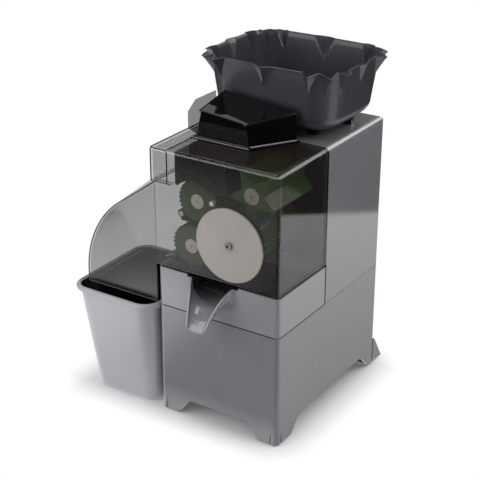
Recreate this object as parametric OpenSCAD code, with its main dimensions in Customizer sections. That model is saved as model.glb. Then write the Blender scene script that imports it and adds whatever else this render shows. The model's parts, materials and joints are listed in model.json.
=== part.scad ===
// Automatic citrus juicer: grey moulded body, smoked front cover over a ribbed squeezing mechanism,
// side bin for the peels and a basket for the fruit on top.
// The body is drawn round its own centre line; placed() then moves it over the middle of its floor area.

/* [Body] */
// Width of the base and of the housing
body_w = 220; // [212:1:240]
// Depth of the base and of the housing, from the front face to the back face
body_d = 318; // [306:1:340]
// Height of the housing's top above the floor
body_h = 450; // [448:1:470]
// Height of the base
base_h = 190; // [182:1:194]
// Depth of the squeezing chamber, from the front face to the seam
chamber_d = 139.4; // [137:0.2:146]
// Wall of the moulded housings
wall = 3; // [2.4:0.1:3.6]
// Radius of the upright corners
corner_r = 8; // [5:0.5:10]
// Radius of the housing's top edges
edge_r = 10; // [5:0.5:12]
// Gap that shows between two mouldings
seam = 0.6; // [0.4:0.1:1]

/* [Base] */
// Height of the arches between the feet
arch_h = 30; // [20:1:36]
// Width of a foot, seen from the front
foot_w = 27; // [22:1:34]
// Length of a front foot, seen from the side
front_foot_l = 37; // [28:1:44]
// How far the rear feet reach out behind the back face
flare_l = 29; // [18:1:34]
// Height at which the rear feet start to reach out
flare_h = 45; // [32:1:56]
// Radius of the rubber pads
pad_r = 6.5; // [4:0.5:8]
// Thickness of the bottom plate
bottom_t = 2.5; // [1.5:0.1:4]

/* [Front cover] */
// Wall of the smoked cover
cover_t = 2.5; // [2:0.1:3]
// Gap between the tray's top and the cover's lower edge
cover_gap = 4; // [3:0.5:7]
// How far the cover's upper left corner stands out past the body
cover_out = 10; // [8:0.5:12]
// How far down the chamber's height the peel cover's slope starts
slope_share = 0.282051; // [0.25:0.01:0.3]
// Angle of the peel cover's slope below the horizontal
slope_a = 38.9; // [34:0.1:42]
// Radius of the peel cover's round side, as a share of its height
peel_share = 0.827586; // [0.79:0.01:0.86]
// How far the peel cover stands out beside the body, as a share of its height
peel_out_share = 0.694581; // [0.67:0.01:0.72]
// Gap between the base's top and the peel cover's lower edge
peel_gap = 2; // [1:0.5:6]
// Radius of the round plate on the cover's face
disc_r = 59; // [50:1:64]
// Thickness of the round plate
disc_t = 2.4; // [1.5:0.1:4]

/* [Squeezing mechanism] */
// Distance of the main drum's axis from the centre line, to the right
drum_x = 24; // [22:0.5:26]
// Height of the main drum's axis above the tray
drum_up = 67.7; // [65:0.1:70]
// Radius of the main drum over its ribs
drum_r = 42.2; // [38:0.2:42.2]
// Radius of a roller over its ribs
roller_r = 35; // [30:0.5:35.5]
// Radius of the star feeder over its points
star_r = 41; // [36:0.5:41]
// Radius at the roots of the star
star_root_r = 21; // [18:0.5:24]
// Points of the star
star_points = 5; // [4:1:6]
// Length of the main drum
drum_l = 98; // [80:1:104]
// Length of a roller
roller_l = 106; // [90:1:110]
// Length of the star feeder
star_l = 112; // [96:1:114]
// Ribs round the main drum
drum_ribs = 36; // [24:1:40]
// Ribs round a roller
roller_ribs = 30; // [20:1:34]
// Depth of a rib
rib_h = 2.6; // [1.5:0.1:3.5]
// Radius of the four shafts
shaft_r = 6; // [4.5:0.5:7]
// Tooth size of the gears, as pitch diameter over teeth
gear_mod = 2.5; // [2.5:0.1:2.5]
// Teeth of the gear on the main shaft
main_teeth = 44; // [44:1:44]
// Teeth of the gear on the upper roller's shaft
upper_teeth = 25; // [25:1:25]
// Teeth of the gear on the lower roller's shaft
lower_teeth = 28; // [28:1:28]
// Teeth of the gear on the star's shaft
star_teeth = 23; // [23:1:23]
// Width of the gears
gear_w = 10; // [7:0.5:12]

/* [Juice tray] */
// Height of the tray
tray_h = 65; // [60:0.5:66]
// Width of the spout where it leaves the tray
spout_w = 84; // [70:1:90]
// Width of the spout at its tip
spout_tip_w = 36; // [28:1:44]
// Reach of the spout in front of the body
spout_l = 46; // [36:1:52]
// Fall of the spout from the tray to its tip
spout_fall = 58; // [44:1:64]
// Wall of the spout
spout_t = 2.4; // [1.8:0.1:3]
// Thickness of the filter's sheet
filter_t = 1.2; // [0.8:0.1:2]
// Slots across the filter, in each row
filter_slots = 22; // [12:1:26]

/* [Feed chute] */
// Height of the chute over the cover's top, at its front left corner
chute_h = 43; // [36:1:46]
// Wall of the chute
chute_t = 2.5; // [2:0.1:3]
// Thickness of the lid
lid_t = 3; // [2:0.1:4]

/* [Peel bin] */
// Width of the bin over its rim
bin_w = 165; // [150:1:168]
// Depth of the bin over its rim
bin_d = 200; // [180:1:206]
// Gap between the bin's rim and the peel cover
bin_gap = 4; // [3:1:20]
// Wall of the bin
bin_t = 2.6; // [2:0.1:3.5]
// How far the rim stands out all round
bin_rim = 6; // [4:0.5:8]

/* [Fruit basket] */
// Width of the basket's floor
basket_w = 216; // [200:1:224]
// Depth of the basket's floor
basket_d = 164; // [150:1:168]
// Height of the basket's side
basket_h = 98; // [80:1:104]
// How far each side leans out from the floor to the rim
basket_lean = 11; // [8:0.5:13]
// Wall of the basket
basket_t = 2.6; // [2:0.1:3.5]
// Radius of the basket's corners, at its floor
basket_r = 40; // [34:1:54]
// Folds round the rim
basket_folds = 14; // [10:1:18]
// How far a fold stands out from the rim
fold_out = 15; // [8:0.5:18]
// Height of the basket's feet
basket_foot_h = 12; // [9:0.5:14]

/* [Hidden] */
$fn = 64;
$fit = 1;
$up = 0;

// Overrun of every cut past the face that it opens
over = 1;
// Gap between a moving piece and what it rests on
rest_gap = 0.3;
// Radial clearance of a shaft in its bush
run_gap = 0.06;

// Planes of the body, front to back
tray_z = base_h + tray_h;
chamber_h = body_h - tray_z;
cover_z = tray_z + cover_gap;
slope_z = body_h - chamber_h * slope_share;
peel_z = base_h + peel_gap;
peel_h = slope_z - peel_z;
peel_r = peel_h * peel_share;
peel_reach = body_w / 2 + peel_h * peel_out_share;
bin_h = peel_z - bin_gap;
front_y = -body_d / 2;
back_y = body_d / 2;
seam_y = front_y + chamber_d;
side_x = body_w / 2;

// Base
deck_z = base_h - wall;
foot_run = 34;
rear_run = 46;
arch_steps = 8;
column_r = 6;
column_in = column_r + 2 * wall;
column_x = side_x - column_in;
column_y = back_y - column_in;
plate_z = arch_h + 8;
screw_r = 2;
screw_head_r = 3.8;
screw_head_h = 2.4;
screw_l = 12;
pad_h = 4;
pad_proud = 1.5;
foot_sole = 6;
fin_t = 4;
slot_w = 5;
slot_h = 24;
slot_in = 12;
slot_deep = 1.6;

// Housing
flange_w = 18;
plate_t = 6;
plate_edge = 4;
plate_y = seam_y - plate_t;
plate_z0 = cover_z + plate_edge;
plate_z1 = body_h - wall - plate_edge;
plate_x = side_x - cover_t - plate_edge;
panel_t = 2.4;
panel_edge = 14;
panel_x = side_x - panel_edge;
panel_z0 = base_h + panel_edge;
panel_z1 = body_h - panel_edge - wall;
panel_ledge = 8;
louvre_n = 9;
louvre_w = 90;
louvre_h = 4;
louvre_pitch = 9;
louvre_top = 14;
louvre_z = panel_z1 - louvre_top - louvre_n * louvre_pitch;
panel_screw_in = 5;
small_screw_r = 1.6;
small_head_r = 3;
small_head_h = 1.8;

// Gear train
pitch_main = gear_mod * main_teeth / 2;
pitch_upper = gear_mod * upper_teeth / 2;
pitch_lower = gear_mod * lower_teeth / 2;
pitch_star = gear_mod * star_teeth / 2;
upper_angle = 147.6;
lower_angle = 199.8;
star_angle = 70.4;
pressure_a = 20;
backlash_share = 0.04;
flank_steps = 4;
upper_gap = pitch_main + pitch_upper;
lower_gap = pitch_main + pitch_lower;
star_gap = pitch_main + pitch_star;
drum_at = [drum_x, drum_up];
upper_at = drum_at + upper_gap * [cos(upper_angle), sin(upper_angle)];
lower_at = drum_at + lower_gap * [cos(lower_angle), sin(lower_angle)];
star_at = drum_at + star_gap * [cos(star_angle), sin(star_angle)];
shafts_at = [drum_at, upper_at, lower_at, star_at];
mech_side_gap = 16.9;
mech_top_gap = 7.4;
mech_w = 2 * (star_at.x + star_r + mech_side_gap);
mech_h = star_at.y + star_r + mech_top_gap;
fit_share = min(body_w / mech_w, chamber_h / mech_h);

// Places along the shafts
drum_gap = 4.4;
drum_back_y = plate_y - drum_gap;
roller_front_y = drum_back_y - roller_l;
star_front_y = drum_back_y - star_l;
gear_gap = 4;
gear_front_y = seam_y + wall + gear_gap;
gear_back_y = gear_front_y + gear_w;
rear_plate_t = 5;
rear_plate_y = gear_back_y + gear_gap;
rear_plate_x = side_x - 3 * wall - plate_edge;
shaft_tail = 3;
bush_r = 10;
bush_flange_r = 12.5;
bush_flange_t = 2;
seal_r = 11.5;
seal_t = 2.4;
seal_lip = 0.3;
hub_r = 12;
cap_r = 11.5;
star_cap_r = 13;
cap_t = 3;
socket_r = 3;
socket_deep = 1.8;
spacer_r = 4.5;
spacer_in = 6;
web_r = 4.5;

// Drive
coupling_r = 12;
coupling_l = 24;
coupling_y = rear_plate_y + rear_plate_t + shaft_tail;
gearbox_y = coupling_y + coupling_l + shaft_tail;
gearbox_w = 78;
gearbox_l = 32;
gearbox_r = 10;
gearbox_stud_in = 9;
motor_r = 36;
motor_l = 50;
motor_fins = 24;
motor_fin_h = 2.4;
motor_cap_l = 8;
output_in = 14;

// Fruit guide, scraper and slide
guide_t = 2.5;
guide_side_share = 0.727273;
guide_x0 = -side_x * guide_side_share;
guide_lap = 0.9;
guide_x1 = (star_at.x - star_r) * fit_share + guide_lap;
guide_front = 9;
guide_y = front_y + guide_front;
guide_z = slope_z - 1;
guide_roller_gap = 1.5;
guide_top_gap = 1;
guide_screw_in = 26;
guide_screw_up = 16;
guide_screw_at = [guide_x1 - guide_screw_in, guide_z + guide_screw_up];
guide_screw_r = 4.5;
guide_screw_t = 3;
pin_x = -81.8;
pin_up = 85.3;
pin_at = [pin_x, pin_up];
pin_r = 4;
pin_end_gap = 2;
scraper_z = (upper_at.y + lower_at.y) / 2;
scraper_x1 = -62;
scraper_t = 3.4;
scraper_hub_r = 7;
slide_out = 1.6;
slide_in = 16;
slide_up = 7;
slide_rise = 7;
slide_x0 = -side_x - slide_out;
slide_x1 = -side_x + slide_in;
slide_z0 = tray_z + slide_up;
slide_z1 = slide_z0 + slide_rise;
slide_t = 2;

// Front cover
cover_corner_r = 5;
cover_left_x = -side_x - cover_out;
peel_joint_x = -side_x - wall;
rib_d = 6;
stud_r = 3;
stud_l = 7;
stud_head_r = 6;
stud_head_t = 3.2;
stud_socket_r = 3;
stud_socket_deep = 2;
nut_t = 4;
disc_edge = 0.8;
peel_centre_share = 0.08867;
peel_centre = [peel_r - peel_reach, peel_z + peel_h * peel_centre_share];

// Fruit opening in the cover's top, and the chute over it
chute_left_share = 0.754545;
chute_right_share = 0.118182;
chute_back_left_share = 0.709091;
chute_back_right_share = 0.5;
chute_run = 70.4;
chute_in = 3;
chute_x0 = -side_x * chute_left_share;
chute_x1 = side_x * chute_right_share;
chute_y0 = seam_y - chute_run;
chute_y1 = seam_y - chute_in;
chute_back_x1 = side_x * chute_back_right_share;
chute_back_x0 = -side_x * chute_back_left_share;
chute_top_in = 10;
chute_back_in = 5;
chute_rise = 13;
chute_dip = 9;
chute_flange = 6;
chute_flange_t = 2.5;
guard_gap = 10;
guard_x = chute_x0 - guard_gap;
guard_t = 2;
guard_h = 55;
guard_run = 14;
lid_over = 1.5;
skirt_h = 5;
skirt_t = 2;
skirt_gap = 2.5;

// Juice tray and filter
tray_back_y = seam_y - 2;
basin_up = 22;
basin_z = base_h + basin_up;
basin_a = 3.5;
spout_x = -8;
spout_rim_in = 1;
spout_rim_z = tray_z - spout_rim_in;
spout_wall_h = 41;
spout_tip_wall_h = 9;
spout_steps = 8;
spout_sides = 12;
spout_front_y = front_y - spout_l;
notch_step = 7;
notch_step_h = 4;
ledge_w = 5;
ledge_t = 2.4;
filter_up = 42;
filter_z = base_h + filter_up;
filter_gap = 1;
filter_rim_h = 6;
filter_rim_t = 2;
slot_share = 0.42;
slot_rows = 3;
row_gap = 8;

// Peel bin
bin_x1 = -side_x - rest_gap - seam;
bin_x0 = bin_x1 - bin_w;
bin_y0 = front_y - 23;
bin_y1 = bin_y0 + bin_d;
bin_r = 26;
bin_left_lean = 20;
bin_front_lean = 18;
bin_back_lean = 12;
bin_right_lean = 4;
bin_foot_r = 8;
bin_rim_h = 8;
ring_steps = 9;

// Fruit basket
basket_x = -6;
basket_back = 90.4;
basket_y = seam_y + basket_back;
basket_z = body_h + basket_foot_h;
basket_foot_r = 9;
basket_fillet = 13;
basket_sides = 112;
basket_bow = 1.6;
fold_drop = 6;
fold_share = 0.5;
basket_foot_x = 62;
basket_foot_y = 46;
clip_w = 14;
clip_d = 10;
clip_h = 9;
clip_side_in = 30;
clip_back = 23;
clip_x = side_x - clip_side_in;
clip_y = basket_y + clip_back;

// Electrics
board_w = 60;
board_h = 46;
board_t = 1.6;
board_in = 40;
board_up = 110;
board_x = -side_x + board_in;
board_z = base_h + board_up;
board_post = 8;
capacitor_r = 17;
capacitor_l = 60;
capacitor_in = 44;
capacitor_back_in = 63;
capacitor_x = -side_x + capacitor_in;
capacitor_y = back_y - capacitor_back_in;
switch_x = -58;
socket_up = 42;
switch_z = base_h + socket_up;
switch_w = 26;
switch_h = 18;
switch_deep = 16;
switch_lip = 2;
rocker_gap = 0.7;
rocker_pin_r = 1.2;
rocker_pin_l = 2;
rocker_proud = 2;
inlet_x = -8;
inlet_z = base_h + socket_up;
inlet_w = 31;
inlet_h = 24;
inlet_deep = 22;
inlet_lip = 3;
inlet_lip_w = 9;
inlet_pin_l = 12;
inlet_pin_w = 4;
inlet_pin_t = 2;
inlet_pin_pitch = 7;
cover_switch_in = 44;
cover_switch_down = 9;
cover_switch_x = -side_x + cover_switch_in;
cover_switch_z = body_h - cover_switch_down;
cover_switch_w = 20;
cover_switch_h = 7;
cover_switch_l = 10;

// Floor area of the whole juicer
ring_points = basket_ring(basket_h, 1, basket_lean);
far_left = bin_x0;
far_right = max([for (p = ring_points) p.x]);
far_front = spout_front_y;
far_back = back_y + flare_l;

// Puts a piece over the middle of the juicer's floor area
module placed() {
    translate([-(far_left + far_right) / 2, -(far_front + far_back) / 2, 0])
        children();
}

// Places what is drawn over the tray, and shrinks its width and height with the chamber
module fitted() {
    $fit = fit_share;
    $up = tray_z;
    children();
}

function fitted_at(at, y) = [at.x * $fit, y, $up + at.y * $fit];

// Extrudes an outline round a spot, from y0 to y1
module swept(at, y0, y1) {
    translate(fitted_at(at, y1))
        rotate([90, 0, 0])
            linear_extrude(height = y1 - y0)
                children();
}

// Draws a flat outline in x and z, and gives it a depth from y0 to y1
module upright(y0, y1) {
    translate([0, y1, 0])
        rotate([90, 0, 0])
            linear_extrude(height = y1 - y0)
                children();
}

// Draws a flat outline in y and z, and gives it a width from x0 to x1
module sideways(x0, x1) {
    translate([x0, 0, 0])
        rotate([90, 0, 90])
            linear_extrude(height = x1 - x0)
                children();
}

// A rod along y round a point in x and z
module rod(at, r, y0, y1, sides = $fn) {
    translate(fitted_at(at, y1))
        rotate([90, 0, 0])
            cylinder(r = r * $fit, h = y1 - y0, $fn = sides);
}

// A rectangle between two corners with its own radius at each corner
module soft_rect(x0, y0, x1, y1, r00, r10, r11, r01) {
    difference() {
        translate([x0, y0])
            square([x1 - x0, y1 - y0]);
        round_off(x0, y0, 1, 1, r00);
        round_off(x1, y0, -1, 1, r10);
        round_off(x1, y1, -1, -1, r11);
        round_off(x0, y1, 1, -1, r01);
    }
}

// What a corner of radius r loses
module round_off(x, y, sx, sy, r) {
    if (r > 0)
        translate([x, y])
            scale([sx, sy])
                difference() {
                    translate([-over, -over])
                        square(r + over);
                    translate([r, r])
                        circle(r);
                }
}

// Points of a rounded rectangle at height z, counter-clockwise
function soft_ring(x0, y0, x1, y1, r, z) = [
    for (q = [0:3], i = [0:ring_steps])
        let (
            a = 90 * (q + i / ring_steps),
            cx = (q == 0 || q == 3) ? x1 - r : x0 + r,
            cy = q < 2 ? y1 - r : y0 + r
        )
        [cx + r * cos(a), cy + r * sin(a), z]
];

// A closed body through rings of equal counts, each ring counter-clockwise seen from the last one.
// The ends of a trough are closed strip by strip, from one rim to the other.
module skin(rings, trough = false) {
    n = len(rings[0]);
    last = len(rings) - 1;
    points = [for (ring = rings, p = ring) p];
    sides = [
        for (k = [0:last - 1], i = [0:n - 1])
            let (a = k * n + i, b = k * n + (i + 1) % n)
            each [[a, a + n, b + n], [a, b + n, b]]
    ];
    bottom = trough ? end_strips(n) : [[for (i = [0:n - 1]) i]];
    top = [for (face = bottom) [for (i = [len(face) - 1:-1:0]) last * n + face[i]]];
    polyhedron(points, concat(sides, bottom, top), convexity = 6);
}

function end_strips(n) = [for (i = [0:n / 2 - 2]) [i, i + 1, n - 2 - i, n - 1 - i]];

// Base: a moulded box, open below, on four feet with arches between them
module base_housing() {
    color("dimgray")
        difference() {
            union() {
                linear_extrude(height = base_h)
                    body_outline(0);
                rear_flares();
            }
            difference() {
                translate([0, 0, -over])
                    linear_extrude(height = deck_z + over)
                        body_outline(wall);
                base_columns();
                foot_soles();
            }
            upright(front_y - over, back_y + flare_l + over)
                arch_outline(-side_x + foot_w, side_x - foot_w, foot_run, foot_run);
            sideways(-side_x - over, side_x + over)
                arch_outline(front_y + front_foot_l, back_y - wall - foot_sole, foot_run, rear_run);
            for (at = column_places())
                translate([at.x, at.y, plate_z])
                    cylinder(r = screw_r, h = screw_l);
            translate([-body_w, -body_d, -over])
                cube([2 * body_w, 2 * body_d, pad_proud + over]);
            for (at = pad_places())
                translate([at.x, at.y, -over])
                    cylinder(r = pad_r, h = pad_h + over);
            foot_slots();
        }
}

module body_outline(inset) {
    r = corner_r - inset / 2;
    soft_rect(-side_x + inset, front_y + inset, side_x - inset, back_y - inset, r, r, r, r);
}

// The gap under an arch: two S-curves up to a flat stretch
module arch_outline(x0, x1, run0, run1) {
    rise = [for (i = [0:arch_steps]) [x0 + run0 * i / arch_steps, arch_rise(i / arch_steps)]];
    fall = [for (i = [arch_steps:-1:0]) [x1 - run1 * i / arch_steps, arch_rise(i / arch_steps)]];
    polygon(concat([[x0, -over]], rise, fall, [[x1, -over]]));
}

function arch_rise(share) = arch_h * (1 - cos(180 * share)) / 2;

function column_places() = [for (sx = [-1, 1], sy = [-1, 1]) [sx * column_x, sy * column_y]];

// Round columns that take the bottom plate's screws
module base_columns() {
    for (at = column_places())
        translate([at.x, at.y, plate_z])
            cylinder(r = column_r, h = base_h - plate_z);
}

// Solid soles inside the four feet
module foot_soles() {
    for (sx = [-1, 1]) {
        sole(sx, front_y, front_foot_l);
        sole(sx, back_y - foot_w, foot_w);
    }
}

module sole(sx, y0, length) {
    x0 = sx > 0 ? side_x - foot_w : -side_x;
    translate([x0, y0, 0])
        cube([foot_w, length, foot_sole]);
}

function pad_places() = [
    for (sx = [-1, 1], y = [front_y + front_foot_l / 2, back_y - foot_w / 2 + flare_l / 2])
        [sx * (side_x - foot_w / 2), y]
];

// Rear feet that reach out behind the back face, each with two fins over its sole
module rear_flares() {
    for (sx = [-1, 1]) {
        x0 = sx > 0 ? side_x - foot_w : -side_x;
        sideways(x0, x0 + foot_w)
            polygon([
                [back_y - foot_w, 0], [back_y + flare_l, 0], [back_y + flare_l, foot_sole / 2],
                [back_y + flare_l - foot_sole / 2, foot_sole], [back_y - foot_w, foot_sole]
            ]);
        for (x = [x0, x0 + foot_w - fin_t])
            sideways(x, x + fin_t)
                polygon([
                    [back_y - wall, 0], [back_y + flare_l, 0], [back_y + flare_l, foot_sole / 2],
                    [back_y + flare_l - foot_sole / 2, foot_sole],
                    [back_y + fin_t / 2, flare_h], [back_y - wall, flare_h]
                ]);
    }
}

// Narrow slots beside the front corners
module foot_slots() {
    for (sx = [-1, 1]) {
        upright(front_y - over, front_y + slot_deep)
            foot_slot(sx * (side_x - slot_in));
        sideways(sx > 0 ? side_x - slot_deep : -side_x - over, sx > 0 ? side_x + over : -side_x + slot_deep)
            foot_slot(front_y + slot_in);
    }
}

module foot_slot(x) {
    polygon([[x - slot_w / 2, -over], [x + slot_w / 2, -over], [x, slot_h]]);
}

module base_plate() {
    color("darkslategray")
        difference() {
            translate([0, 0, plate_z - bottom_t])
                linear_extrude(height = bottom_t)
                    body_outline(wall + rest_gap);
            for (at = column_places())
                translate([at.x, at.y, plate_z - bottom_t - over])
                    cylinder(r = screw_r, h = bottom_t + 2 * over);
        }
}

module base_screws() {
    color("silver")
        for (at = column_places())
            translate([at.x, at.y, plate_z - bottom_t]) {
                cylinder(r = screw_r, h = bottom_t + screw_l - over);
                mirror([0, 0, 1])
                    cylinder(r = screw_head_r, h = screw_head_h);
            }
}

module rubber_feet() {
    color("black")
        for (at = pad_places())
            translate([at.x, at.y, 0])
                cylinder(r = pad_r, h = pad_h);
}

// Outside of the rear housing, drawn in by inset on every side but the front and the bottom
module housing_block(inset) {
    r = edge_r - inset / 2;
    c = corner_r - inset / 2;
    intersection() {
        upright(seam_y - over, back_y + over)
            soft_rect(-side_x + inset, base_h - over, side_x - inset, body_h - inset, 0, 0, r, r);
        translate([0, 0, base_h - over])
            linear_extrude(height = body_h - base_h + 2 * over)
                soft_rect(-side_x + inset, seam_y - over, side_x - inset, back_y - inset, 0, 0, c, c);
        sideways(-side_x, side_x)
            soft_rect(seam_y - over, base_h - over, back_y - inset, body_h - inset, 0, 0, r, 0);
    }
}

// Rear housing: a moulded hood over the drive, with a flange at the front and an opening at the back
module rear_housing() {
    z0 = base_h + seam;
    color("gray")
        difference() {
            intersection() {
                housing_block(0);
                translate([-side_x - over, seam_y, z0])
                    cube([body_w + 2 * over, body_d, body_h]);
            }
            difference() {
                intersection() {
                    housing_block(wall);
                    translate([-side_x, seam_y + wall, base_h - over])
                        cube([body_w, body_d, body_h]);
                }
                housing_floor();
            }
            front_opening();
            for (at = plate_screw_places())
                rod(at, screw_r, seam_y - over, seam_y + wall + over, 32);
            panel_recess();
            upright(back_y - 2 * wall, back_y + over)
                soft_rect(-panel_x + panel_ledge, panel_z0 + panel_ledge,
                    panel_x - panel_ledge, panel_z1 - panel_ledge, wall, wall, wall, wall);
            for (at = panel_screw_places())
                rod(at, small_screw_r, back_y - panel_t - 2 * wall, back_y - panel_t + over, 24);
        }
}

// Floor that the housing stands on, with a wide hole in the middle
module housing_floor() {
    difference() {
        translate([-side_x, seam_y, base_h])
            cube([body_w, body_d, wall + seam]);
        translate([-side_x + flange_w + wall, seam_y + flange_w, base_h - over])
            cube([body_w - 2 * (flange_w + wall), body_d / 2 - seam_y - 2 * flange_w, wall + 4 * over]);
    }
}

module front_opening() {
    upright(seam_y - over, seam_y + wall + over)
        soft_rect(-plate_x + flange_w, plate_z0 + flange_w / 2, plate_x - flange_w,
            plate_z1 - flange_w / 2, wall, wall, wall, wall);
}

module panel_recess() {
    upright(back_y - panel_t, back_y + over)
        panel_outline(0);
}

module panel_outline(inset) {
    soft_rect(-panel_x + inset, panel_z0 + inset, panel_x - inset, panel_z1 - inset,
        corner_r, corner_r, corner_r, corner_r);
}

function panel_screw_places() = [
    for (x = [-panel_x + panel_screw_in, panel_x - panel_screw_in])
        for (share = [0.06, 0.5, 0.94])
            [x, panel_z0 + share * (panel_z1 - panel_z0)]
];

// Panel over the opening in the back, with louvres and the cut-outs for the switch and the inlet
module back_panel() {
    color("dimgray")
        difference() {
            upright(back_y - panel_t, back_y)
                panel_outline(rest_gap);
            for (i = [0:louvre_n - 1])
                translate([-louvre_w / 2, back_y - panel_t - over, louvre_z + i * louvre_pitch])
                    cube([louvre_w, panel_t + 2 * over, louvre_h]);
            translate([switch_x - switch_w / 2, back_y - panel_t - over, switch_z - switch_h / 2])
                cube([switch_w, panel_t + 2 * over, switch_h]);
            translate([inlet_x - inlet_w / 2, back_y - panel_t - over, inlet_z - inlet_h / 2])
                cube([inlet_w, panel_t + 2 * over, inlet_h]);
            for (at = panel_screw_places())
                rod(at, small_screw_r, back_y - panel_t - over, back_y + over, 24);
        }
}

module panel_screws() {
    color("silver")
        for (at = panel_screw_places()) {
            rod(at, small_screw_r, back_y - panel_t - wall, back_y, 24);
            rod(at, small_head_r, back_y, back_y + small_head_h, 32);
        }
}

// Clip on the housing's top that keeps the basket from sliding
module basket_clip() {
    color("dimgray")
        translate([clip_x - clip_w / 2, clip_y - clip_d / 2, body_h])
            difference() {
                cube([clip_w, clip_d, clip_h]);
                translate([-over, clip_d / 3, clip_h / 2])
                    cube([clip_w + 2 * over, clip_d / 3, clip_h]);
            }
}

// Dark plate that closes the chamber's back and carries the four shafts
module bearing_plate() {
    color("darkslategray")
        difference() {
            upright(plate_y, seam_y)
                soft_rect(-plate_x, plate_z0, plate_x, plate_z1, corner_r, corner_r, corner_r, corner_r);
            fitted()
                for (at = shafts_at) {
                    rod(at, bush_r, plate_y - over, seam_y + over);
                    rod(at, bush_flange_r, seam_y - bush_flange_t, seam_y + over);
                    rod(at, seal_r, plate_y - over, plate_y + seal_t);
                }
            for (at = plate_screw_places()) {
                rod(at, screw_r, plate_y - over, seam_y + over, 32);
                rod(at, screw_head_r, plate_y - over, plate_y + screw_head_h, 40);
            }
        }
}

function plate_screw_places() = [
    for (x = [-plate_x + spacer_in, plate_x - spacer_in], z = [plate_z0 + spacer_in, plate_z1 - spacer_in])
        [x, z]
];

// Steel plate behind the gears, with the rear bushes
module rear_plate() {
    color("silver")
        difference() {
            upright(rear_plate_y, rear_plate_y + rear_plate_t)
                soft_rect(-plate_x, plate_z0, plate_x, plate_z1, corner_r, corner_r, corner_r, corner_r);
            for (at = plate_screw_places())
                rod(at, screw_r, rear_plate_y - over, rear_plate_y + rear_plate_t + over, 32);
            fitted() {
                for (at = shafts_at)
                    rod(at, bush_r, rear_plate_y - over, rear_plate_y + rear_plate_t + over);
                for (at = gearbox_stud_places())
                    rod(at, screw_r, rear_plate_y - over, rear_plate_y + rear_plate_t + over, 32);
            }
        }
}

// Four spacers that hold the two plates apart
module plate_spacers() {
    color("silver")
        for (at = plate_screw_places())
            difference() {
                rod(at, spacer_r, seam_y + wall, rear_plate_y, 40);
                rod(at, screw_r, seam_y + wall - over, rear_plate_y + over, 32);
            }
}

// Long screws through the bearing plate, the spacers and the rear plate
module plate_screws() {
    color("gainsboro")
        for (at = plate_screw_places()) {
            rod(at, screw_r, plate_y, rear_plate_y + rear_plate_t + screw_head_h, 32);
            rod(at, screw_head_r, plate_y, plate_y + screw_head_h, 40);
            rod(at, screw_head_r, rear_plate_y + rear_plate_t, rear_plate_y + rear_plate_t + screw_head_h, 6);
        }
}

module front_bushes() {
    color("peru")
        for (at = shafts_at)
            difference() {
                union() {
                    rod(at, bush_r, plate_y + seal_t, seam_y);
                    rod(at, bush_flange_r, seam_y - bush_flange_t, seam_y);
                }
                rod(at, shaft_r + run_gap, plate_y, seam_y + over);
            }
}

module rear_bushes() {
    color("peru")
        for (at = shafts_at)
            difference() {
                union() {
                    rod(at, bush_r, rear_plate_y - bush_flange_t, rear_plate_y + rear_plate_t);
                    rod(at, bush_flange_r, rear_plate_y - bush_flange_t, rear_plate_y);
                }
                rod(at, shaft_r + run_gap, rear_plate_y - bush_flange_t - over, rear_plate_y + rear_plate_t + over);
            }
}

// Lip seals that keep the juice out of the bushes
module shaft_seals() {
    color("black")
        for (at = shafts_at)
            difference() {
                rod(at, seal_r, plate_y, plate_y + seal_t);
                rod(at, shaft_r + seal_lip, plate_y - over, plate_y + seal_t + over);
            }
}

// A shaft from y0 to the back of the rear plate
module shaft(at, y0, tail) {
    color("silver")
        rod(at, shaft_r, y0, rear_plate_y + rear_plate_t + tail);
}

// Outline of a drum or roller: ribs with flat crests all round
module ribbed_outline(r, ribs) {
    step = 360 / ribs;
    polygon([
        for (i = [0:ribs - 1])
            each [
                spoke(r - rib_h, step * (i - 0.30)), spoke(r, step * (i - 0.16)),
                spoke(r, step * (i + 0.16)), spoke(r - rib_h, step * (i + 0.30))
            ]
    ]);
}

function polar(r, a) = [r * cos(a), r * sin(a)];
function spoke(r, a) = $fit * polar(r, a);

// A ribbed drum on its shaft, with a recess for the cap in its front face
module ribbed_drum(at, r, ribs, y0, y1, recess_r) {
    difference() {
        swept(at, y0, y1)
            ribbed_outline(r, ribs);
        rod(at, shaft_r, y0 - over, y1 + over);
        rod(at, recess_r, y0 - over, y0 + cap_t / 2);
    }
}

module main_drum() {
    color("darkolivegreen")
        ribbed_drum(drum_at, drum_r, drum_ribs, drum_back_y - drum_l, drum_back_y, cap_r);
}

module upper_roller() {
    color("darkolivegreen")
        ribbed_drum(upper_at, roller_r, roller_ribs, roller_front_y, drum_back_y, cap_r);
}

module lower_roller() {
    color("darkolivegreen")
        ribbed_drum(lower_at, roller_r, roller_ribs, roller_front_y, drum_back_y, cap_r);
}

// Outline of the star feeder: sharp points with a narrow flat, and a flat root between them
module star_outline() {
    step = 360 / star_points;
    polygon([
        for (i = [0:star_points - 1])
            each [
                spoke(star_r, step * i - 1.4), spoke(star_r, step * i + 1.4),
                spoke(star_root_r, step * (i + 0.46)), spoke(star_root_r, step * (i + 0.54))
            ]
    ]);
}

module star_feeder() {
    color("olivedrab")
        difference() {
            swept(star_at, star_front_y, drum_back_y)
                rotate(star_turn)
                    star_outline();
            rod(star_at, shaft_r, star_front_y - over, drum_back_y + over);
            rod(star_at, star_cap_r, star_front_y - over, star_front_y + cap_t / 2);
        }
}

star_turn = 48;

// Round cap on the front end of a shaft, with a socket for a key
module end_cap(at, r, front) {
    color("gainsboro")
        difference() {
            rod(at, r, front - cap_t / 2, front + cap_t / 2);
            rod(at, socket_r, front - cap_t / 2 - over, front - cap_t / 2 + socket_deep, 6);
        }
}

// Half the angle of a tooth at radius r
function tooth_half(r, teeth, base_r) =
    90 / teeth * (1 - backlash_share) + involute(pressure_a) - involute(acos(min(1, base_r / r)));

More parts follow.
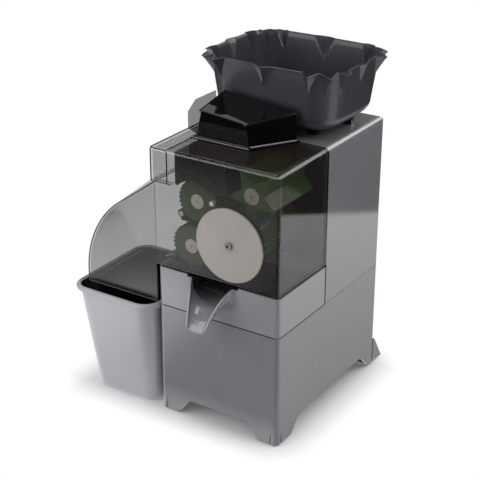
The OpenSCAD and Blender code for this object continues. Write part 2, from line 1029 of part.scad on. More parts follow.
function involute(a) = tan(a) * 180 / PI - a;

// Outline of a spur gear with involute flanks, first tooth along x
module gear_outline(teeth) {
    pitch_r = gear_mod * teeth / 2;
    base_r = pitch_r * cos(pressure_a);
    root_r = pitch_r - 1.25 * gear_mod;
    tip_r = pitch_r + gear_mod;
    low_r = max(root_r, base_r);
    radii = [for (i = [0:flank_steps]) low_r + (tip_r - low_r) * i / flank_steps];
    half = [for (r = radii) tooth_half(r, teeth, base_r)];
    polygon([
        for (k = [0:teeth - 1])
            let (c = 360 * k / teeth)
            each concat(
                [spoke(root_r, c - half[0] - 0.6)],
                [for (i = [0:flank_steps]) spoke(radii[i], c - half[i])],
                [for (i = [flank_steps:-1:0]) spoke(radii[i], c + half[i])],
                [spoke(root_r, c + half[0] + 0.6)]
            )
    ]);
}

// Turn of a gear that meshes with the main gear, seen along the line of centres at angle a
function mesh_turn(a, teeth) = a + 180 - 180 / teeth + main_teeth / teeth * a;

// A spur gear on its shaft, with a hub behind it and holes in its web
module spur_gear(at, teeth, turn) {
    pitch_r = gear_mod * teeth / 2;
    hole_ring_r = (pitch_r - 2 * gear_mod + hub_r) / 2;
    difference() {
        union() {
            swept(at, gear_front_y, gear_back_y)
                rotate(turn)
                    gear_outline(teeth);
            rod(at, hub_r, gear_front_y - gear_gap / 2, gear_back_y);
        }
        rod(at, shaft_r, gear_front_y - gear_gap, gear_back_y + over);
        for (i = [0:4])
            rod(at + polar(hole_ring_r, 72 * i), web_r, gear_front_y - over, gear_back_y + over, 32);
    }
}

module main_gear() {
    color("ivory")
        spur_gear(drum_at, main_teeth, 0);
}

module upper_gear() {
    color("ivory")
        spur_gear(upper_at, upper_teeth, mesh_turn(upper_angle, upper_teeth));
}

module lower_gear() {
    color("ivory")
        spur_gear(lower_at, lower_teeth, mesh_turn(lower_angle, lower_teeth));
}

module star_gear() {
    color("ivory")
        spur_gear(star_at, star_teeth, mesh_turn(star_angle, star_teeth));
}

// Sleeve that joins the main shaft to the gearbox
module shaft_coupling() {
    color("dimgray")
        difference() {
            rod(drum_at, coupling_r, coupling_y - shaft_tail / 2, coupling_y + coupling_l);
            rod(drum_at, shaft_r, coupling_y - shaft_tail, coupling_y + coupling_l + over);
        }
}

module output_shaft() {
    color("silver")
        rod(drum_at, shaft_r, coupling_y + coupling_l / 2, gearbox_y + output_in);
}

function gearbox_stud_places() = [
    for (sx = [-1, 1], sz = [-1, 1])
        drum_at + (gearbox_w / 2 - gearbox_stud_in) * [sx, sz]
];

module gearbox() {
    half = $fit * gearbox_w / 2;
    color("darkgray")
        difference() {
            union() {
                swept(drum_at, gearbox_y, gearbox_y + gearbox_l)
                    soft_rect(-half, -half, half, half, gearbox_r, gearbox_r, gearbox_r, gearbox_r);
                rod(drum_at, coupling_r + wall, gearbox_y - shaft_tail / 2, gearbox_y);
            }
            rod(drum_at, shaft_r + run_gap, gearbox_y - shaft_tail, gearbox_y + output_in + wall);
            for (at = gearbox_stud_places())
                rod(at, screw_r, gearbox_y - over, gearbox_y + screw_l, 32);
        }
}

// Studs and sleeves that carry the gearbox on the rear plate
module gearbox_spacers() {
    color("silver")
        for (at = gearbox_stud_places()) {
            rod(at, spacer_r, rear_plate_y + rear_plate_t, gearbox_y, 40);
            rod(at, screw_r, rear_plate_y - screw_head_h / 2, gearbox_y + screw_l - over, 32);
        }
}

// Finned motor on the back of the gearbox
module motor() {
    y0 = gearbox_y + gearbox_l;
    color("slategray") {
        swept(drum_at, y0, y0 + motor_l)
            fin_outline();
        rod(drum_at, motor_r - motor_fin_h, y0 + motor_l, y0 + motor_l + motor_cap_l);
    }
}

module fin_outline() {
    step = 360 / motor_fins;
    inner_r = motor_r - motor_fin_h;
    polygon([
        for (i = [0:motor_fins - 1])
            each [
                spoke(inner_r, step * (i - 0.25)), spoke(motor_r, step * (i - 0.2)),
                spoke(motor_r, step * (i + 0.2)), spoke(inner_r, step * (i + 0.25))
            ]
    ]);
}

// Dark channel under the fruit opening: a front and a left side, cut clear of the upper roller
module fruit_guide() {
    color("black")
        difference() {
            union() {
                upright(guide_y, guide_y + guide_t)
                    soft_rect(guide_x0, guide_z, guide_x1, guide_top(), wall, wall, 0, 0);
                translate([guide_x0, guide_y, guide_z])
                    cube([guide_t, plate_y - guide_y, guide_top() - guide_z]);
            }
            fitted()
                rod(upper_at, roller_r + guide_roller_gap, guide_y - over, guide_y + guide_t + over);
        }
}

function guide_top() = body_h - cover_t - guide_top_gap;

module guide_screw() {
    color("silver")
        difference() {
            rod(guide_screw_at, guide_screw_r, guide_y - guide_screw_t, guide_y);
            rod(guide_screw_at, socket_r, guide_y - guide_screw_t - over, guide_y - socket_deep, 6);
        }
}

module scraper_pin() {
    color("silver")
        rod(pin_at, pin_r, roller_front_y + pin_end_gap, plate_y, 40);
}

// Blade between the two rollers that turns the peels out to the side
module peel_scraper() {
    y0 = roller_front_y + 2 * pin_end_gap;
    y1 = plate_y - drum_gap / 2;
    color("dimgray")
        difference() {
            union() {
                rod(pin_at, scraper_hub_r, y0, y1);
                translate(fitted_at([pin_x, scraper_z - scraper_t / 2], y0))
                    cube([$fit * (scraper_x1 - pin_x), y1 - y0, $fit * scraper_t]);
                translate(fitted_at([pin_x - scraper_t / 2, scraper_z - scraper_t / 2], y0))
                    cube([$fit * scraper_t, y1 - y0, $fit * (pin_up - scraper_z)]);
            }
            rod(pin_at, pin_r, y0 - over, y1 + over, 40);
        }
}

// Sloping sheet that carries the peels over the tray's side into the bin
module peel_slide() {
    color("dimgray")
        upright(roller_front_y, plate_y)
            polygon([
                [slide_x0, slide_z0], [slide_x1, slide_z1],
                [slide_x1, slide_z1 + slide_t], [slide_x0, slide_z0 + slide_t]
            ]);
}

module run_capacitor() {
    color("whitesmoke")
        translate([capacitor_x, capacitor_y, base_h]) {
            cylinder(r = capacitor_r, h = capacitor_l);
            cylinder(r = capacitor_r - wall, h = capacitor_l + wall);
        }
}

module control_board() {
    y0 = rear_plate_y + rear_plate_t + board_post;
    color("darkgreen") {
        translate([board_x - board_w / 2, y0, board_z - board_h / 2])
            cube([board_w, board_t, board_h]);
        for (sx = [-1, 1], sz = [-1, 1])
            rod([board_x + sx * (board_w / 2 - spacer_r), board_z + sz * (board_h / 2 - spacer_r)], pin_r / 2,
                y0 - board_post, y0, 24);
        translate([board_x - board_w / 4, y0 + board_t, board_z - board_h / 4])
            cube([board_w / 2, board_post, board_h / 2]);
    }
}

// Small switch behind the bearing plate's upper corner that feels the cover
module cover_switch() {
    color("black")
        translate([cover_switch_x - cover_switch_w / 2, seam_y + wall, cover_switch_z - cover_switch_h / 2])
            cube([cover_switch_w, cover_switch_l, cover_switch_h]);
}

// Socket for the mains lead, with its three pins
module mains_inlet() {
    half_w = inlet_w / 2 - rest_gap;
    half_h = inlet_h / 2 - rest_gap;
    color("black") {
        difference() {
            union() {
                translate([inlet_x - half_w, back_y - inlet_deep, inlet_z - half_h])
                    cube([2 * half_w, inlet_deep, 2 * half_h]);
                upright(back_y, back_y + inlet_lip)
                    soft_rect(inlet_x - half_w - inlet_lip_w, inlet_z - half_h - inlet_lip,
                        inlet_x + half_w + inlet_lip_w, inlet_z + half_h + inlet_lip, wall, wall, wall, wall);
            }
            translate([inlet_x - half_w + wall, back_y - inlet_deep + wall, inlet_z - half_h + wall])
                cube([2 * (half_w - wall), inlet_deep + inlet_lip, 2 * (half_h - wall)]);
        }
        for (i = [-1:1])
            translate([inlet_x + i * inlet_pin_pitch - inlet_pin_t / 2, back_y - inlet_deep + wall,
                inlet_z - inlet_pin_w / 2 + (i == 0 ? inlet_pin_w : 0)])
                cube([inlet_pin_t, inlet_pin_l, inlet_pin_w]);
    }
}

// Frame that holds the rocker
module switch_frame() {
    half_w = switch_w / 2 - rest_gap;
    half_h = switch_h / 2 - rest_gap;
    color("black")
        difference() {
            union() {
                translate([switch_x - half_w, back_y - switch_deep, switch_z - half_h])
                    cube([2 * half_w, switch_deep, 2 * half_h]);
                upright(back_y, back_y + switch_lip)
                    soft_rect(switch_x - half_w - switch_lip, switch_z - half_h - switch_lip,
                        switch_x + half_w + switch_lip, switch_z + half_h + switch_lip, 1, 1, 1, 1);
            }
            translate([switch_x - half_w + wall, back_y - switch_deep + wall, switch_z - half_h + wall])
                cube([2 * (half_w - wall), switch_deep + switch_lip, 2 * (half_h - wall)]);
            rocker_pin(rocker_pin_r + run_gap, rocker_pin_l + rest_gap);
        }
}

rocker_w = switch_w - 2 * (wall + rest_gap + rocker_gap);
rocker_h = switch_h - 2 * (wall + rest_gap + rocker_gap);
rocker_axis_y = back_y - 2;

// Rocker: a bar with two shallow slopes that meet over its axis
module power_switch() {
    color("firebrick") {
        translate([switch_x, rocker_axis_y, switch_z - rocker_h / 2])
            linear_extrude(height = rocker_h)
                polygon([
                    [-rocker_w / 2, 0], [0, -switch_deep / 3], [rocker_w / 2, 0],
                    [rocker_w / 2, rocker_proud * 2], [0, rocker_proud], [-rocker_w / 2, rocker_proud * 2]
                ]);
        rocker_pin(rocker_pin_r, rocker_pin_l);
    }
}

// Pin that the rocker turns on, standing out of it at both ends
module rocker_pin(r, out) {
    translate([switch_x, rocker_axis_y, switch_z - rocker_h / 2 - out])
        cylinder(r = r, h = rocker_h + 2 * out, $fn = 32);
}

// Juice tray: a skirt round three sides, a basin that falls to the front, and the open spout
module juice_tray() {
    z0 = base_h + seam;
    color("darkgray")
        difference() {
            union() {
                difference() {
                    translate([0, 0, z0])
                        linear_extrude(height = tray_z - z0)
                            tray_outline(0);
                    translate([0, 0, z0 - over])
                        linear_extrude(height = tray_z - z0 + 2 * over)
                            tray_outline(wall);
                }
                intersection() {
                    translate([0, 0, z0])
                        linear_extrude(height = tray_z - z0)
                            tray_outline(wall / 2);
                    translate([-side_x, front_y, basin_z])
                        rotate([basin_a, 0, 0])
                            cube([body_w, body_d, wall]);
                }
                translate([-side_x + wall / 2, tray_back_y - wall, z0])
                    cube([body_w - wall, wall, tray_z - z0]);
                filter_ledges();
                spout_shell();
            }
            spout_bore();
        }
}

module tray_outline(inset) {
    r = corner_r - inset / 2;
    soft_rect(-side_x + inset, front_y + inset, side_x - inset, tray_back_y, r, r, 0, 0);
}

// Ledges inside the tray's sides that carry the filter
module filter_ledges() {
    for (x = [-side_x + wall / 2, side_x - wall - ledge_w])
        translate([x, front_y + 2 * wall, filter_z - ledge_t])
            cube([ledge_w + wall / 2, tray_back_y - front_y - 4 * wall, ledge_t]);
}

// One cross-section of the spout: a trough of sides + 1 points from rim to rim, at share s of its length
function spout_arc(s, inset, lift) = [
    for (i = [0:spout_sides])
        let (
            a = 180 + 180 * i / spout_sides,
            half = spout_half(s) - inset,
            deep = spout_deep(s) - inset
        )
        [spout_x + half * sign_power(cos(a)), spout_y(s), spout_top(s) + lift + deep * sign_power(sin(a))]
];

function sign_power(v) = sign(v) * pow(abs(v), 0.72);
function spout_half(s) = (spout_w + (spout_tip_w - spout_w) * pow(s, 0.8)) / 2;
function spout_deep(s) = spout_wall_h + (spout_tip_wall_h - spout_wall_h) * s;
function spout_y(s) = front_y + wall / 2 - (spout_l + wall / 2) * s;
function spout_top(s) = spout_rim_z - spout_fall * (0.35 * s + 0.65 * s * s);

// Walls of the spout as one swept trough
module spout_shell() {
    rings = [
        for (k = [0:spout_steps])
            let (s = k / spout_steps)
            concat(spout_arc(s, 0, 0), reverse(spout_arc(s, spout_t, 0)))
    ];
    skin(rings, true);
}

function reverse(list) = [for (i = [len(list) - 1:-1:0]) list[i]];

// Mouth of the spout through the tray's front wall
module spout_bore() {
    half = spout_half(0) - spout_t;
    upright(front_y - over, front_y + 2 * wall) {
        polygon(concat(
            [for (p = spout_arc(0, spout_t, 0)) [p.x, p.z]],
            [[spout_x + half, tray_z + over], [spout_x - half, tray_z + over]]
        ));
        translate([spout_x - half - notch_step, tray_z - notch_step_h])
            square([2 * (half + notch_step), notch_step_h + over]);
    }
}

// Filter: a slotted sheet with a rim that lies on the tray's ledges
module pulp_filter() {
    x0 = -side_x + wall + filter_gap;
    y0 = front_y + 2 * wall + filter_gap;
    sheet_w = body_w - 2 * (wall + filter_gap);
    sheet_d = tray_back_y - wall - filter_gap - y0;
    field_w = sheet_w - 4 * ledge_w;
    pitch = field_w / filter_slots;
    row_d = (sheet_d - (slot_rows + 1) * row_gap) / slot_rows;
    color("silver")
        translate([x0, y0, filter_z + rest_gap])
            difference() {
                union() {
                    cube([sheet_w, sheet_d, filter_t]);
                    difference() {
                        cube([sheet_w, sheet_d, filter_rim_h]);
                        translate([filter_rim_t, filter_rim_t, -over])
                            cube([sheet_w - 2 * filter_rim_t, sheet_d - 2 * filter_rim_t, filter_rim_h + 2 * over]);
                    }
                }
                for (i = [0:filter_slots - 1], j = [0:slot_rows - 1])
                    translate([2 * ledge_w + pitch * (i + (1 - slot_share) / 2), row_gap + j * (row_d + row_gap), -over])
                        cube([pitch * slot_share, row_d, filter_t + 2 * over]);
            }
}

// Block of the front cover, drawn in by inset at the front, the sides and the top
module cover_block(inset) {
    r = edge_r - inset / 2;
    c = cover_corner_r - inset / 2;
    intersection() {
        upright(front_y + inset, seam_y + over)
            soft_rect(cover_left_x + inset, cover_z - over, side_x - inset, body_h - inset, 0, 0, r, c);
        translate([0, 0, cover_z - over])
            linear_extrude(height = body_h)
                soft_rect(cover_left_x + inset, front_y + inset, side_x - inset, seam_y + over, c, c, 0, 0);
        sideways(cover_left_x, side_x)
            soft_rect(front_y + inset, cover_z - over, seam_y + over, body_h - inset, 0, 0, 0, c);
    }
}

// Smoked cover over the chamber, open at the back, at the bottom and towards the peel cover
module front_cover() {
    color([0.12, 0.11, 0.11, 0.5])
        difference() {
            union() {
                difference() {
                    intersection() {
                        cover_block(0);
                        translate([cover_left_x - over, front_y - over, cover_z])
                            cube([2 * body_w, chamber_d + over - seam, body_h]);
                    }
                    translate([0, 0, -over])
                        cover_block(cover_t);
                    cover_block(cover_t);
                }
                cover_ribs();
            }
            translate([cover_left_x - over, front_y - over, cover_z - over])
                cube([peel_joint_x - cover_left_x + over, chamber_d + 2 * over, slope_z - cover_z + over]);
            fruit_opening();
            fitted()
                rod(drum_at, stud_r, front_y - over, front_y + cover_t + over, 40);
        }
}

// Lower edge of the upper left corner, and the lip behind it
module cover_ribs() {
    translate([cover_left_x + cover_t / 2, front_y + cover_t / 2, slope_z])
        cube([guide_x0 - cover_left_x - cover_t, rib_d, cover_t]);
    translate([cover_left_x + cover_t / 2, seam_y - seam - cover_t, slope_z])
        cube([-cover_left_x - side_x + cover_t, cover_t, body_h - slope_z - cover_t / 2]);
}

module fruit_opening() {
    translate([0, 0, body_h - cover_t - over])
        linear_extrude(height = cover_t + 2 * over)
            polygon(chute_ring(chute_t));
}

// Corners of the chute's foot, drawn in by inset
function chute_ring(inset) = [
    [chute_x0 + inset, chute_y0 + inset], [chute_x1 - inset, chute_y0 + inset],
    [chute_back_x1 - inset, chute_y1 - max(inset, 0)], [chute_back_x0 + inset, chute_y1 - max(inset, 0)]
];

// Corners of the chute's top, drawn in by inset
function chute_top_ring(inset) = [
    [chute_x0 + chute_top_in + inset, chute_y0 + inset],
    [chute_x1 - chute_top_in / 2 - inset, chute_y0 + inset],
    [chute_back_x1 - chute_back_in / 2 - inset, chute_y1 - max(inset, 0)],
    [chute_back_x0 + chute_back_in + inset, chute_y1 - max(inset, 0)]
];

// Height of the chute's sloping top at a corner
function chute_top_z(p) =
    body_h + chute_h
    + chute_rise * (p.y - chute_y0) / (chute_y1 - chute_y0)
    - chute_dip * (p.x - chute_x0) / (chute_x1 - chute_x0);

function at_height(ring, z) = [for (p = ring) [p.x, p.y, z]];
function on_top(ring, lift) = [for (p = ring) [p.x, p.y, chute_top_z(p) + lift]];

// Chute over the fruit opening: leaning walls on a flange, with a guard plate on the left
module feed_chute() {
    foot_z = body_h;
    color([0.1, 0.1, 0.1, 0.8]) {
        difference() {
            union() {
                skin([at_height(chute_ring(0), foot_z), on_top(chute_top_ring(0), 0)]);
                translate([0, 0, foot_z])
                    linear_extrude(height = chute_flange_t)
                        polygon(chute_ring(-chute_flange));
            }
            skin([at_height(chute_ring(chute_t), foot_z - over), on_top(chute_top_ring(chute_t), over)]);
        }
        sideways(guard_x, guard_x + guard_t)
            polygon([
                [chute_y0 + guard_run, foot_z], [chute_y0 - chute_flange, foot_z + guard_run],
                [chute_y0 - chute_flange, foot_z + guard_h - guard_run],
                [chute_y0 + guard_run, foot_z + guard_h], [chute_y1, foot_z + guard_h],
                [chute_y1, foot_z]
            ]);
        translate([guard_x, chute_y0 + guard_run, foot_z])
            cube([chute_x0 - guard_x, chute_y1 - chute_y0 - guard_run, chute_flange_t]);
    }
}

// Lid of the chute: a sloping plate with a skirt that drops inside the walls
module chute_lid() {
    top = on_top(chute_top_ring(-lid_over), rest_gap);
    color([0.08, 0.08, 0.08, 0.9]) {
        skin([top, on_top(chute_top_ring(-lid_over), rest_gap + lid_t)]);
        difference() {
            skin([
                on_top(chute_top_ring(chute_t + skirt_gap), -skirt_h),
                on_top(chute_top_ring(chute_t + skirt_gap), rest_gap + lid_t / 2)
            ]);
            skin([
                on_top(chute_top_ring(chute_t + skirt_gap + skirt_t), -skirt_h - over),
                on_top(chute_top_ring(chute_t + skirt_gap + skirt_t), rest_gap)
            ]);
        }
    }
}

// Outline of the peel cover: a slope from the corner, then a round side down to the lower edge
module peel_outline(inset) {
    tangent = peel_centre + (peel_r - inset) * [-sin(slope_a), cos(slope_a)];
    run = peel_joint_x - tangent.x;
    top = [peel_joint_x, tangent.y + run * tan(slope_a)];
    difference() {
        union() {
            intersection() {
                translate(peel_centre)
                    circle(peel_r - inset, $fn = 128);
                polygon([
                    peel_centre, peel_centre + 2 * peel_r * [-sin(slope_a), cos(slope_a)],
                    peel_centre + 2 * peel_r * [-1, 1], peel_centre + 2 * peel_r * [-1, 0]
                ]);
            }
            polygon([peel_centre, [peel_joint_x, peel_centre.y], top, tangent]);
            translate([peel_centre.x - peel_r + inset, peel_z - over])
                square([peel_r - inset - peel_centre.x + peel_joint_x, peel_centre.y - peel_z + 2 * over]);
        }
        translate([peel_joint_x, peel_z - 2 * over])
            square([peel_r, body_h]);
        translate([peel_centre.x - peel_r, slope_z - inset])
            square([2 * peel_r, body_h]);
    }
}

// Lighter side cover that leads the peels down into the bin
module peel_cover() {
    color([0.35, 0.33, 0.32, 0.45])
        difference() {
            intersection() {
                upright(front_y, seam_y - seam)
                    peel_outline(0);
                translate([-2 * peel_reach, front_y, peel_z])
                    cube([2 * peel_reach, body_d, body_h]);
            }
            upright(front_y + cover_t, seam_y - seam - cover_t)
                peel_outline(cover_t);
            translate([peel_joint_x - over, front_y + cover_t, peel_z - over])
                cube([2 * over, chamber_d - seam - 2 * cover_t, slope_z - cover_t - peel_z + over]);
        }
}

// Round plate on the cover's face
module cover_disc() {
    color("silver")
        difference() {
            union() {
                rod(drum_at, disc_r, front_y - disc_t + disc_edge, front_y, 128);
                rod(drum_at, disc_r - disc_edge, front_y - disc_t, front_y, 128);
            }
            rod(drum_at, stud_r, front_y - disc_t - over, front_y + over, 40);
        }
}

// Screw through the middle of the plate, with a socket in its head
module disc_screw() {
    y0 = front_y - disc_t;
    color("gainsboro")
        difference() {
            union() {
                rod(drum_at, stud_head_r, y0 - stud_head_t, y0, 48);
                rod(drum_at, stud_r, y0, front_y + cover_t + stud_l, 40);
            }
            rod(drum_at, stud_socket_r, y0 - stud_head_t - over, y0 - stud_head_t + stud_socket_deep, 6);
        }
}

// Nut on the screw, against the inside of the cover
module disc_nut() {
    y0 = front_y + cover_t;
    color("silver")
        difference() {
            rod(drum_at, 2 * stud_r, y0, y0 + nut_t, 6);
            rod(drum_at, stud_r, y0 - over, y0 + nut_t + over, 40);
        }
}

// One level of the peel bin: leans in towards the floor on each side
function bin_level(z, out, r) =
    let (down = 1 - z / bin_h, e = bin_rim - out)
    soft_ring(
        bin_x0 + e + bin_left_lean * down, bin_y0 + e + bin_front_lean * down,
        bin_x1 - e - bin_right_lean * down, bin_y1 - e - bin_back_lean * down, r, z
    );

// Bin that stands on the floor beside the body and catches the peels
module peel_bin() {
    color("lightgray")
        skin([
            bin_level(0, -bin_foot_r / 2, bin_r - bin_foot_r / 2),
            bin_level(bin_foot_r / 4, -bin_foot_r / 6, bin_r - bin_foot_r / 6),
            bin_level(bin_foot_r, 0, bin_r),
            bin_level(bin_h - bin_rim_h, 0, bin_r),
            bin_level(bin_h - bin_rim_h, bin_rim - bin_t / 2, bin_r + bin_rim / 2),
            bin_level(bin_h - bin_rim_h / 2, bin_rim, bin_r + bin_rim / 2),
            bin_level(bin_h - bin_t / 2, bin_rim - bin_t / 4, bin_r + bin_rim / 2),
            bin_level(bin_h, bin_rim - bin_t, bin_r + bin_rim / 3),
            bin_level(bin_h, bin_t / 4, bin_r),
            bin_level(bin_h - bin_t, -bin_t, bin_r - bin_t),
            bin_level(bin_t + bin_foot_r, -bin_t, bin_r - bin_t),
            bin_level(bin_t, -bin_t - bin_foot_r / 2, bin_r - bin_t - bin_foot_r / 2)
        ]);
}

// Bend of the rim at share s of the way round: 0 between folds, 1 at the tip of a fold
function fold_shape(s) =
    let (phase = s * basket_folds - floor(s * basket_folds))
    phase < fold_share ? pow(sin(180 * phase / fold_share), 0.8) : 0;

// Whether the fold at share s would hang over the chute's lid, where the rim is left plain
function over_lid(s) =
    let (middle = (floor(s * basket_folds) + fold_share / 2) / basket_folds)
    tub_point(middle, basket_w / 2 + basket_lean, basket_d / 2 + basket_lean, basket_r + basket_lean).z == 270;

// Point on a rounded rectangle at share s of the way round, and the angle that it faces
function tub_point(s, half_w, half_d, r) =
    let (
        side = 2 * (half_d - r),
        face = 2 * (half_w - r),
        bend = PI * r / 2,
        far = s >= 0.5,
        d = (far ? s - 0.5 : s) * 2 * (side + face + 2 * bend),
        across = d - side - bend,
        p = d < side ? [half_w + basket_bow * sin(180 * d / side), d - half_d + r, 0]
            : d < side + bend ? round_point(half_w - r, half_d - r, r, 90 * (d - side) / bend)
            : across < face ? [half_w - r - across, half_d + basket_bow * sin(180 * across / face), 90]
            : round_point(r - half_w, half_d - r, r, 90 + 90 * (across - face) / bend),
        turn = far ? -1 : 1
    )
    [turn * p.x, turn * p.y, p.z + (far ? 180 : 0)];

function round_point(x, y, r, a) = [x + r * cos(a), y + r * sin(a), a];

// One level of the basket: out by lean, with its folds out and down in the same measure
function basket_ring(z, fold, lean) = [
    for (i = [0:basket_sides - 1])
        let (
            s = i / basket_sides,
            p = tub_point(s, basket_w / 2 + lean, basket_d / 2 + lean, basket_r + lean),
            f = over_lid(s) ? 0 : fold_shape(s) * fold,
            out = polar(fold_out * f, p.z)
        )
        [basket_x + p.x + out.x, basket_y + p.y + out.y, basket_z + z - fold_drop * f * f]
];

// Basket for the fruit: a leaning tub whose rim is folded out, but for its front
module fruit_basket() {
    color("dimgray")
        skin([
            basket_ring(0, 0, -basket_fillet),
            basket_ring(basket_fillet / 4, 0, -basket_fillet / 4),
            basket_ring(basket_fillet, 0, 0),
            basket_ring(basket_h * 0.74, 0, basket_lean * 0.7),
            basket_ring(basket_h * 0.92, 0.4, basket_lean * 0.9),
            basket_ring(basket_h - basket_t, 1, basket_lean),
            basket_ring(basket_h, 1, basket_lean),
            basket_ring(basket_h * 0.94, 0.4, basket_lean * 0.9 - basket_t),
            basket_ring(basket_h * 0.76, 0, basket_lean * 0.7 - basket_t),
            basket_ring(basket_fillet + basket_t, 0, -basket_t),
            basket_ring(basket_t, 0, -basket_fillet - basket_t / 2)
        ]);
}

// Feet under the basket
module basket_feet() {
    color("black")
        for (sx = [-1, 1], sy = [-1, 1])
            translate([basket_x + sx * basket_foot_x, basket_y + sy * basket_foot_y, body_h + rest_gap])
                cylinder(r = basket_foot_r, h = basket_foot_h - rest_gap);
}

placed() base_housing();
placed() base_plate();
placed() base_screws();
placed() rubber_feet();
placed() rear_housing();
placed() back_panel();
placed() panel_screws();
placed() basket_clip();
placed() bearing_plate();
placed() rear_plate();
placed() plate_spacers();
placed() plate_screws();
placed() fitted() front_bushes();
placed() fitted() rear_bushes();
placed() fitted() shaft_seals();
placed() fitted() shaft(drum_at, drum_back_y - drum_l + cap_t / 2, coupling_l / 2);  // main_shaft
placed() fitted() main_drum();
placed() fitted() main_gear();
placed() fitted() end_cap(drum_at, cap_r, drum_back_y - drum_l);  // main_cap
placed() fitted() shaft_coupling();
placed() fitted() output_shaft();
placed() fitted() shaft(upper_at, roller_front_y + cap_t / 2, shaft_tail);  // upper_shaft
placed() fitted() upper_roller();
placed() fitted() upper_gear();
placed() fitted() end_cap(upper_at, cap_r, roller_front_y);  // upper_cap
placed() fitted() shaft(lower_at, roller_front_y + cap_t / 2, shaft_tail);  // lower_shaft
placed() fitted() lower_roller();
placed() fitted() lower_gear();
placed() fitted() end_cap(lower_at, cap_r, roller_front_y);  // lower_cap
placed() fitted() shaft(star_at, star_front_y + cap_t / 2, shaft_tail);  // star_shaft
placed() fitted() star_feeder();
placed() fitted() star_gear();
placed() fitted() end_cap(star_at, star_cap_r, star_front_y);  // star_cap
placed() fruit_guide();
placed() guide_screw();
placed() fitted() scraper_pin();
placed() fitted() peel_scraper();
placed() peel_slide();
placed() fitted() gearbox();
placed() fitted() gearbox_spacers();
placed() fitted() motor();
placed() run_capacitor();
placed() control_board();
placed() cover_switch();
placed() mains_inlet();
placed() switch_frame();
placed() power_switch();
placed() juice_tray();
placed() pulp_filter();
placed() front_cover();
placed() peel_cover();
placed() fitted() cover_disc();
placed() fitted() disc_screw();
placed() fitted() disc_nut();
placed() feed_chute();
placed() chute_lid();
placed() peel_bin();
placed() fruit_basket();
placed() basket_feet();
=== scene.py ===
"""Looks of the automatic citrus juicer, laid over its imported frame.

The frame brings every rigid piece in metres. This script sets the camera and the studio, gives each
piece its finish, and makes what needs more than the frame's solids: the folded fruit basket, the
peel bin, and the thin edges, seams, lines and clips of the covers, the chute, the lid and the tray.
"""

from __future__ import annotations

import json
import logging
import math
from dataclasses import dataclass, field
from enum import Enum
from typing import Sequence

import bmesh
import bpy
from mathutils import Matrix, Vector

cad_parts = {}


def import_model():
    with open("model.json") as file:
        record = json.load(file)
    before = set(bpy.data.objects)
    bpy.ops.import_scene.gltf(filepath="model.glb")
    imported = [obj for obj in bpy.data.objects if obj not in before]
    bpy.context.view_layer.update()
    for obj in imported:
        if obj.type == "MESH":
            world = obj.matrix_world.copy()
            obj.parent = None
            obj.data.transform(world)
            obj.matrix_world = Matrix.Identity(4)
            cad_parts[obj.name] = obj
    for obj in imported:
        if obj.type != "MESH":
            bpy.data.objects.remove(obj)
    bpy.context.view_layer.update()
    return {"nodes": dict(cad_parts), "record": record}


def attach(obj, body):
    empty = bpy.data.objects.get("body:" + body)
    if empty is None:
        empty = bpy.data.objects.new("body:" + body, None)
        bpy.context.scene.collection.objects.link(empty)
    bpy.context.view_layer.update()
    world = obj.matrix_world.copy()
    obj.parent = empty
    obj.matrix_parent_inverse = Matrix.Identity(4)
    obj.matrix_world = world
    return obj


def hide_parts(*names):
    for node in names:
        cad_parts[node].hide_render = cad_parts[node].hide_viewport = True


LOG = logging.getLogger("juicer")
MM = 0.001
MICRON = 1e-6
SHIFT = Vector((73.496792, 8.5, 0.0))

Colour = tuple[float, float, float]
Point = tuple[float, float, float]
Area = tuple[float, float, float, float]
Ring = list[Vector]

WHITE: Colour = (1.0, 1.0, 1.0)


def tone(code: str) -> Colour:
    """Turns an sRGB colour code into linear light.

    Args:
        code: Six hexadecimal digits.

    Returns:
        Red, green and blue in linear light.
    """
    parts = [int(code[i : i + 2], 16) / 255 for i in (0, 2, 4)]
    return tuple(p / 12.92 if p <= 0.04045 else ((p + 0.055) / 1.055) ** 2.4 for p in parts)


def shade(colour: Colour, factor: float) -> Colour:
    """Lightens or darkens a colour.

    Args:
        colour: Colour in linear light.
        factor: What each channel is multiplied by.

    Returns:
        The new colour, at most white.
    """
    return tuple(min(1.0, c * factor) for c in colour)


def place(x: float, y: float, z: float) -> Vector:
    """Turns millimetres round the body's centre line into metres in the frame.

    Args:
        x: To the right of the body's centre line.
        y: Behind the body's middle.
        z: Above the floor.

    Returns:
        The point in the frame.
    """
    return (Vector((x, y, z)) + SHIFT) * MM


